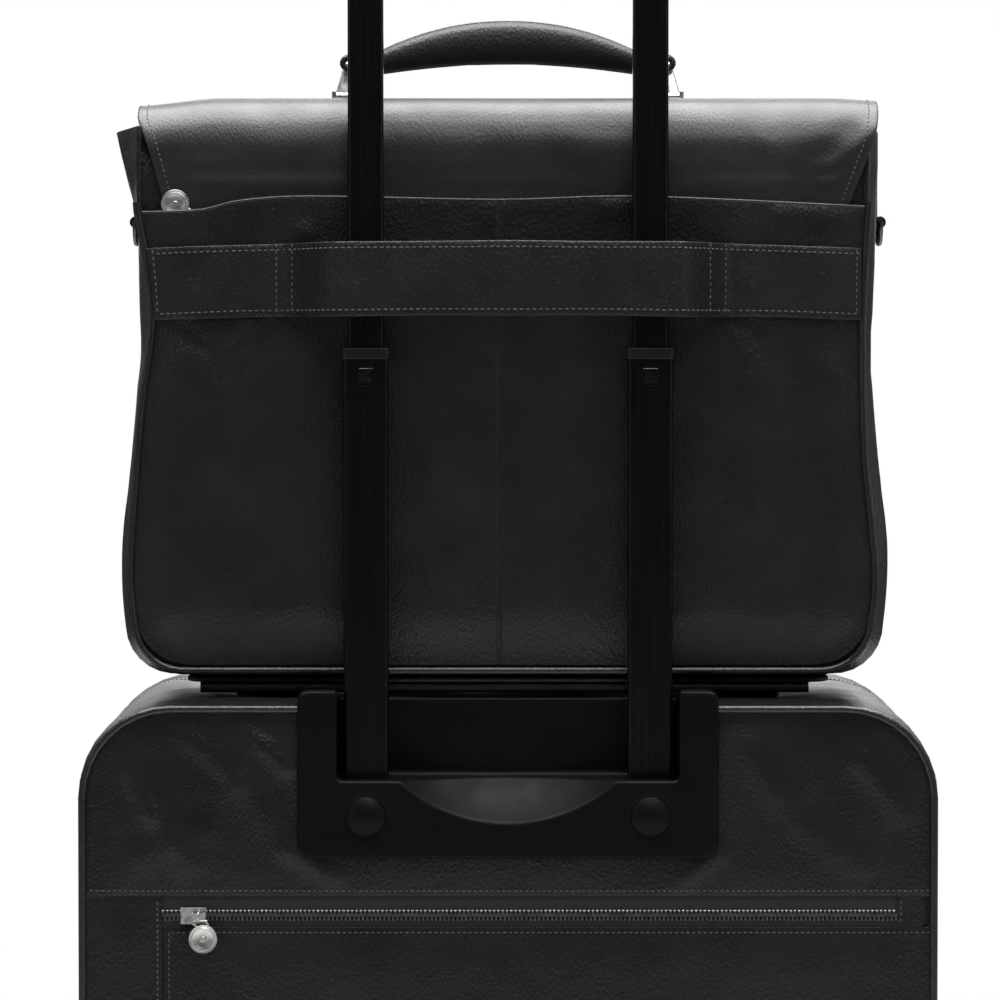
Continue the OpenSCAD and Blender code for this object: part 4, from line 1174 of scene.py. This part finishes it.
strap_xs = steps(-201.5, 199.0, 4, (-LOOP_END, LOOP_END, -SHOULDER, SHOULDER))
strap_piece = surface("trolley_strap_leather", strap_xs, [k / 10 for k in range(-10, 11)], strap_point,
                      "strap_leather", "briefcase")
thicken(strap_piece, 2.2, edge=0.6)
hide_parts("trolley_strap")
strap_rows = []
for s in (-0.82, 0.83):
    strap_rows.append([Vector(strap_point(x, s)) for x in strap_xs[1:-1]])
for x in (-SEWN_IN - 17, -SEWN_IN - 8, SEWN_IN, SEWN_IN + 9):
    strap_rows.append([Vector(strap_point(x, s / 10)) for s in range(-9, 10)])
for x in (strap_xs[0] + 3, strap_xs[-1] - 3):
    strap_rows.append([Vector(strap_point(x, s / 10)) for s in range(-8, 9)])
stitches("trolley_strap_stitches", strap_rows, OUT_BACK, "briefcase", pitch=3.6, length=2.7, radius=0.42)

# ---------------------------------------------------------------- flap

ROLL = 29
FRONT_ROLL = 14
TAIL_Y = back.y0 - 2.4
TOP_Z = flap_top.z1
FLAP_FRONT_SEAM = flap_drop.y1 - FRONT_ROLL
TAIL_LOW = flap_tail.z0 + 4


def arc_points(cy, cz, r, start, stop, count):
    return [(cy + r * math.cos(math.radians(mix(start, stop, k / count))),
             cz + r * math.sin(math.radians(mix(start, stop, k / count)))) for k in range(count + 1)]


def flap_profile():
    """(y, z) from the low end of the sewn tail, over the rolled back edge and along the top."""
    roll = arc_points(TAIL_Y - 1.5 + ROLL, TOP_Z - ROLL, ROLL, 180, 90, 12)
    tail = [(mix(TAIL_Y + 0.4, roll[0][0], smooth((z - TAIL_LOW) / 30)), z)
            for z in steps(TAIL_LOW, roll[0][1] - 5, 5)]
    top = [(y, TOP_Z) for y in steps(roll[-1][0] + 5, FLAP_FRONT_SEAM, 6)]
    return tail + roll + top


FLAP_FOLDS = [(206, 705, 176, 676, 4, 1.7), (190, 704, 160, 676, 6, -0.8), (154, 675, 172, 676, 4, 1.5),
              (198, 690, 186, 664, 5, 1.2), (140, 700, 158, 684, 7, 0.7), (-178, 686, -166, 676, 5, 0.9),
              (-96, 684, -88, 668, 8, 0.8), (-150, 676, -120, 672, 6, 0.7), (30, 706, 70, 690, 12, 0.5)]
FLAP_LEFT = [(640, -188), (667, -195), (700, -204), (714, -209)]
FLAP_RIGHT = [(640, 184), (661, 192), (685, 201), (700, 206.5), (714, 209)]
PROFILE = flap_profile()


def flap_droop(x):
    """The flap's top sinks a little towards both ends, more on the left."""
    return 4.4 * (1 - smooth((x + 212) / 52)) + 1.4 * (1 - smooth((212 - x) / 30))


# The pocket pull slides past the flap below this height, in front of this face.
PULL_TRACK_Z = Box("slip_zip_pull").z1 + 1
PULL_TRACK_Y = Box("slip_zip_pull").y0 + 2.4


def flap_back_point(u, k):
    """u from 0 to 1 across, k the row of the flap's profile."""
    y, z = PROFILE[k]
    left, right = along(FLAP_LEFT, z), along(FLAP_RIGHT, z)
    x = mix(left, right, u)
    on_back = smooth((-58 - y) / 14) * smooth((z - TAIL_LOW) / 22)
    end = min(u, 1 - u)
    swell = on_back * (1.6 * smooth(end / 0.06) + 1.0 * ripple(x, z, 66, 67) + 0.35 * ripple(x, z, 24, 69)
                       + folds(x, z, FLAP_FOLDS))
    if on_back:
        y = max(y - swell, mix(PULL_TRACK_Y, PULL_TRACK_Y - 12, smooth((z - PULL_TRACK_Z) / 30)))
    crest = 2.0 * math.exp(-((y + 60) / 17) ** 2) * smooth((z - 690) / 20)
    z += crest - flap_droop(x) * smooth((z - 680) / 36)
    return x, y, z


flap_us = [k / 120 for k in range(121)]
flap_rear = surface("flap_back_and_top", flap_us, list(range(len(PROFILE))), flap_back_point, "flap_leather")
thicken(flap_rear, 2.4, edge=0.8, inner="lining")
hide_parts("flap_back", "flap_top")
REAR_BLEND = {"start": tuple(mm(0, TAIL_Y, 700)), "end": tuple(mm(0, -58, TOP_Z))}
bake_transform(flap_rear)


def front_profile():
    """(y, z) from the seam on top, over the front edge and down to the hem."""
    roll = arc_points(FLAP_FRONT_SEAM, TOP_Z - FRONT_ROLL, FRONT_ROLL, 90, 0, 8)
    drop = [(flap_drop.y1, z) for z in reversed(steps(flap_drop.z0 + 0.5, roll[-1][1] - 4, 6))]
    return roll + drop


FRONT = front_profile()
HEM_R = 26


def flap_front_point(u, k):
    """The same for the front of the flap, from the other side."""
    y, z = FRONT[k]
    half = flap_drop.x1 - low_corner_inset(z, flap_drop.z0, HEM_R)
    x = mix(half, -half, u)
    low = smooth((TOP_Z - 20 - z) / 40)
    z -= flap_droop(x) * smooth((z - 680) / 36)
    y += low * (0.8 * pillow(u, 0, 1, 0.1) + 0.8 * ripple(x, z, 80, 73) + 0.25 * ripple(x, z, 26, 75))
    return x, y, z


flap_front = surface("flap_front_sheet", flap_us[::-1], list(range(len(FRONT))), flap_front_point,
                     "flap_leather")
thicken(flap_front, 2.4, edge=0.8, inner="lining")
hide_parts("flap_front")
FRONT_BLEND = {"start": tuple(mm(0, 44, TOP_Z)), "end": tuple(mm(0, flap_drop.y1, 706))}
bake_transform(flap_front)


# Stitches near the flap's edges: STITCH_U is how far in they run, as a share of the width.
STITCH_U = 0.013
TURN = next(k for k, p in enumerate(PROFILE[2:]) if p[1] > TOP_Z - ROLL * 0.3)
for number, u in enumerate((STITCH_U, 1 - STITCH_U)):
    row = [Vector(flap_back_point(u, k)) for k in range(2, len(PROFILE))]
    for part, line, out in (("side", row[:TURN], OUT_BACK), ("top", row[TURN - 1:], OUT_UP)):
        made = stitches(f"flap_{part}_stitches_{number}", [line], out, None, radius=0.36)
        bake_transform(made)
hem = [Vector(flap_front_point(STITCH_U, k)) for k in range(1, len(FRONT)) if FRONT[k][1] > flap_drop.z0 + HEM_R]
low_hem = []
for angle in range(90, -1, -15):
    inset = HEM_R * (1 - math.sin(math.radians(angle)))
    rise = HEM_R * (1 - math.cos(math.radians(90 - angle)))
    low_hem.append(Vector(((flap_drop.x1 - inset) * 0.975, flap_drop.y1 + 0.4, flap_drop.z0 + 4.5 + rise)))
mirror = [Vector((-p.x, p.y, p.z)) for p in reversed(hem + low_hem)]
made = stitches("flap_hem_stitches", [hem + low_hem + mirror], OUT_FRONT, None)
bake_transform(made)

# ---------------------------------------------------------------- flap straps

flap_strap = Box("flap_straps")
STRAP_HALF = 12


def flap_strap_piece(name, middle):
    """A strap down the front flap, pointed at its low end, with a stitched border."""
    low, high = flap_strap.z0, flap_strap.z1
    face = flap_strap.y1

    def half(z):
        return STRAP_HALF * min(1.0, math.sqrt(max(0.0, (z - low) / 13)) * 0.86 + 0.14)

    def point(s, z):
        return middle - s * half(z), face + 0.2 * ripple(z, middle, 30, 79) - 0.25 * abs(s) ** 4, z

    made = surface(name, [k / 6 for k in range(-6, 7)], steps(low, high, 5, (low + 2, low + 5)), point,
                   "strap_leather", "flap_front")
    thicken(made, 2.2, edge=0.6)
    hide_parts("flap_straps")
    side_line = [Vector(point(0.76, z)) for z in steps(low + 6, high - 3, 8)]
    other = [Vector(point(-0.76, z)) for z in reversed(steps(low + 6, high - 3, 8))]
    tip = [side_line[0], Vector(point(0, low + 3.4)), other[-1]]
    stitches(name + "_stitches", [side_line, other, tip], OUT_FRONT, "flap_front", pitch=3.0)


buckle = Box("flap_buckles")
for name, middle in (("flap_strap_left", buckle.x0 + 18), ("flap_strap_right", buckle.x1 - 18)):
    flap_strap_piece(name, middle)

# ---------------------------------------------------------------- handle of the briefcase

bag_handle = Box("bag_handle")
links = Box("handle_links")
HANDLE_Y = (bag_handle.y0 + bag_handle.y1) / 2
CREST = bag_handle.z1 + 3.4
BELLY = bag_handle.z0 + 5.9
HANDLE_HALF = bag_handle.x1 - 2.5


def handle_section(x):
    """Top, bottom and half thickness of the padded handle at x: a crescent, thick in the middle."""
    t = x / HANDLE_HALF
    top = CREST - 26 * abs(t) ** 2.1
    bottom = BELLY - 8.5 * t * t
    taper = 1 - 0.45 * smooth((abs(t) - 0.7) / 0.3)
    return top, min(bottom, top - 6), (bag_handle.y1 - bag_handle.y0) / 2 * taper


AROUND = 20
SQUARISH = 0.62
PAD_SWELL = 1.0


def handle_ring(x):
    """The pad's outline at x, between an ellipse and a rectangle."""
    top, bottom, half = handle_section(x)
    middle, tall = (top + bottom) / 2, (top - bottom) / 2 + PAD_SWELL
    ring = []
    for k in range(AROUND):
        turn = 2 * math.pi * k / AROUND
        c, s = math.cos(turn), math.sin(turn)
        ring.append((x, HANDLE_Y + (half + PAD_SWELL) * math.copysign(abs(c) ** SQUARISH, c),
                     middle + tall * math.copysign(abs(s) ** SQUARISH, s)))
    return ring


handle_xs = steps(-HANDLE_HALF, HANDLE_HALF, 5)
points = [mm(*p) for x in handle_xs for p in handle_ring(x)]
faces = []
for a in range(0, AROUND * (len(handle_xs) - 1), AROUND):
    for k in range(AROUND):
        n = (k + 1) % AROUND
        faces.append((a + k, a + n, a + AROUND + n, a + AROUND + k))
faces.append(tuple(reversed(range(AROUND))))
faces.append(tuple(range(len(points) - AROUND, len(points))))
handle_pad = add_mesh("handle_pad", points, faces, "handle_leather")
inflate(handle_pad, 2.2, 3.0, 2.0)
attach(handle_pad, "bag_handle")
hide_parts("bag_handle")
for name, out, radius in (("handle_top_seam", 0, 0.9), ("handle_side_seam_back", -1, 0.7),
                          ("handle_side_seam_front", 1, 0.7)):
    line = []
    for x in steps(-HANDLE_HALF + 5, HANDLE_HALF - 5, 4):
        top, bottom, half = handle_section(x)
        line.append((x, HANDLE_Y + out * half * 0.9, mix(bottom, top, 0.62) if out else top + 0.9))
    tube(name, line, radius, "piping_leather", "bag_handle")

LINK_TILT = 4
PIN_Z = links.z0 + 3.2


def link_plate(name, sign):
    """A tapered metal plate on its hinge pin, leaning in to the handle's end, with a leather loop through it."""
    middle = (links.x0 + links.x1) / 2 + sign * (links.x1 - 3.5)

    def point(u, z):
        t = (z - PIN_Z) / (links.z1 - PIN_Z)
        half = mix(4.8, 3.1, t)
        x = middle + u * half - sign * LINK_TILT * t
        return x, HANDLE_Y - 0.9 + 5.0 * t - 0.7 * (1 - u * u) * (1 - t), z

    made = surface(name, [k / 4 for k in range(-4, 5)], steps(PIN_Z, links.z1, 2.5), point, "nickel",
                   "bag_handle")
    thicken(made, 2.2, edge=0.6)
    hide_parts("handle_links")
    knuckle = [(middle + 4.6 * k, HANDLE_Y, PIN_Z) for k in (-1, -0.3, 0.3, 1)]
    tube(name + "_knuckle", knuckle, 2.5, "nickel", "bag_handle")
    loop = [(middle - sign * (6.5 - 6.5 * math.cos(turn)), 744.6 + 4.0 * math.sin(turn))
            for turn in (math.radians(150 - 20 * k) for k in range(16))]
    tube(name + "_loop", [(x, HANDLE_Y, z) for x, z in loop], 1.9, "handle_leather", "bag_handle")


link_plate("link_left", -1)
link_plate("link_right", 1)

# ---------------------------------------------------------------- zipper pulls


def ring_points(centre, axis, radius):
    """A circle round an axis."""
    count = 28
    axis = Vector(axis).normalized()
    side_way = axis.orthogonal().normalized()
    other = axis.cross(side_way)
    return [Vector(centre) + radius * (side_way * math.cos(2 * math.pi * k / count)
                                       + other * math.sin(2 * math.pi * k / count)) for k in range(count)]


rear_pull = Box("rear_zip_pull")
pull_y = rear_pull.y0 + 3.3
pull_x = (rear_pull.x0 + rear_pull.x1) / 2
disc_pull("rear_pull_disc", (pull_x, pull_y, rear_pull.z0 + PULL_R), (1, 0, 0), OUT_BACK, "rear_pull",
          "rear_zip_pull")
eye_x = pull_x - 2.6
tube("rear_pull_eye", ring_points((eye_x, pull_y, rear_pull.z1 - 3.3), (1, 0, 0), 2.75), 0.55, "nickel",
     "rear_pull", True)
yoke_z, rim_z = rear_pull.z1 - 5.6, rear_pull.z0 + 2 * PULL_R - 1.4
neck = [(pull_x - 3.0, rim_z), (eye_x - 4.0, yoke_z - 0.8), (eye_x - 3.4, yoke_z), (eye_x + 4.4, yoke_z),
        (eye_x + 5.0, yoke_z - 0.8), (pull_x + 3.0, rim_z)]
tube("rear_pull_neck", [(x, pull_y, z) for x, z in neck], 0.65, "nickel", "rear_pull")

slip_pull = Box("slip_zip_pull")
slip_disc_y = slip_pull.y0 + 1.0
disc_pull("slip_pull_disc", (slip_pull.x0 + PULL_R, slip_disc_y, slip_pull.z1 - PULL_R), (1, 0, 0.2), OUT_BACK,
          "slip_slider", "slip_zip_pull", thick=1.4)
slip_rim = slip_pull.x0 + 2 * PULL_R
tube("slip_pull_link", [(slip_rim - 1.0, slip_disc_y, slip_pull.z1 - 10.5),
                        (slip_rim + 3.5, slip_disc_y, slip_pull.z1 - 13.5),
                        (slip_rim + 7, slip_disc_y + 0.4, slip_pull.z1 - 17)], 0.7, "nickel", "slip_slider")

# ---------------------------------------------------------------- floor, light and view

floor_mesh = bpy.data.meshes.new("floor")
FLOOR_R = 1.35
rim = [(FLOOR_R * math.cos(math.pi * k / 48), FLOOR_R * math.sin(math.pi * k / 48), -0.0005) for k in range(96)]
floor_mesh.from_pydata(rim, [], [tuple(range(96))])
floor = bpy.data.objects.new("floor", floor_mesh)
bpy.context.scene.collection.objects.link(floor)
floor_material, floor_tree, floor_shader, floor_place = start_material("floor_paint", (0.52,) * 3, 0.55)
floor_gloss = to_range(floor_tree, noise_node(floor_tree, floor_place, 3), 0.5, 0.6)
floor_tree.links.new(floor_gloss, floor_shader.inputs["Roughness"])
floor_mesh.materials.append(floor_material)

world = bpy.data.worlds.new("studio")
bpy.context.scene.world = world
world.use_nodes = True
sky = world.node_tree.nodes["Background"]
sky.inputs["Color"].default_value = (1, 1, 1, 1)
path = world.node_tree.nodes.new("ShaderNodeLightPath")
level = world.node_tree.nodes.new("ShaderNodeMapRange")
level.inputs["To Min"].default_value = 0.05
level.inputs["To Max"].default_value = 1.0
world.node_tree.links.new(path.outputs["Is Camera Ray"], level.inputs["Value"])
world.node_tree.links.new(level.outputs["Result"], sky.inputs["Strength"])


def softbox(name, place, target, width, height, power):
    """A rectangular studio light, in metres and watts, turned to its target."""
    light = bpy.data.lights.new(name, "AREA")
    light.shape = "RECTANGLE"
    light.size = width
    light.size_y = height
    light.energy = power
    obj = bpy.data.objects.new(name, light)
    obj.location = place
    obj.rotation_euler = (Vector(target) - Vector(place)).to_track_quat("-Z", "Y").to_euler()
    bpy.context.scene.collection.objects.link(obj)


softbox("overhead", (0, 0.1, 2.4), (0, 0, 0.6), 2.4, 2.0, 175)
softbox("top_front", (0.5, -1.9, 2.5), (0, 0, 0.6), 1.2, 0.7, 17)
softbox("front_left", (-2.4, -1.9, 1.1), (0, -0.1, 0.5), 0.7, 1.6, 6)
softbox("front_right", (2.5, -1.5, 1.1), (0, -0.1, 0.5), 0.6, 1.6, 6)
softbox("rim_right", (1.5, 0.5, 0.9), (0, -0.1, 0.5), 0.3, 1.5, 2.5)
softbox("rim_left", (-1.7, 0.9, 1.1), (0, -0.1, 0.5), 0.4, 1.5, 2)
softbox("backdrop", (0, 2.4, 0.95), (0, 0, 0.75), 2.6, 0.7, 12)
softbox("behind", (0.4, 2.6, 1.9), (0, 0, 0.4), 2.0, 1.2, 20)

bpy.context.scene.view_settings.view_transform = "Standard"
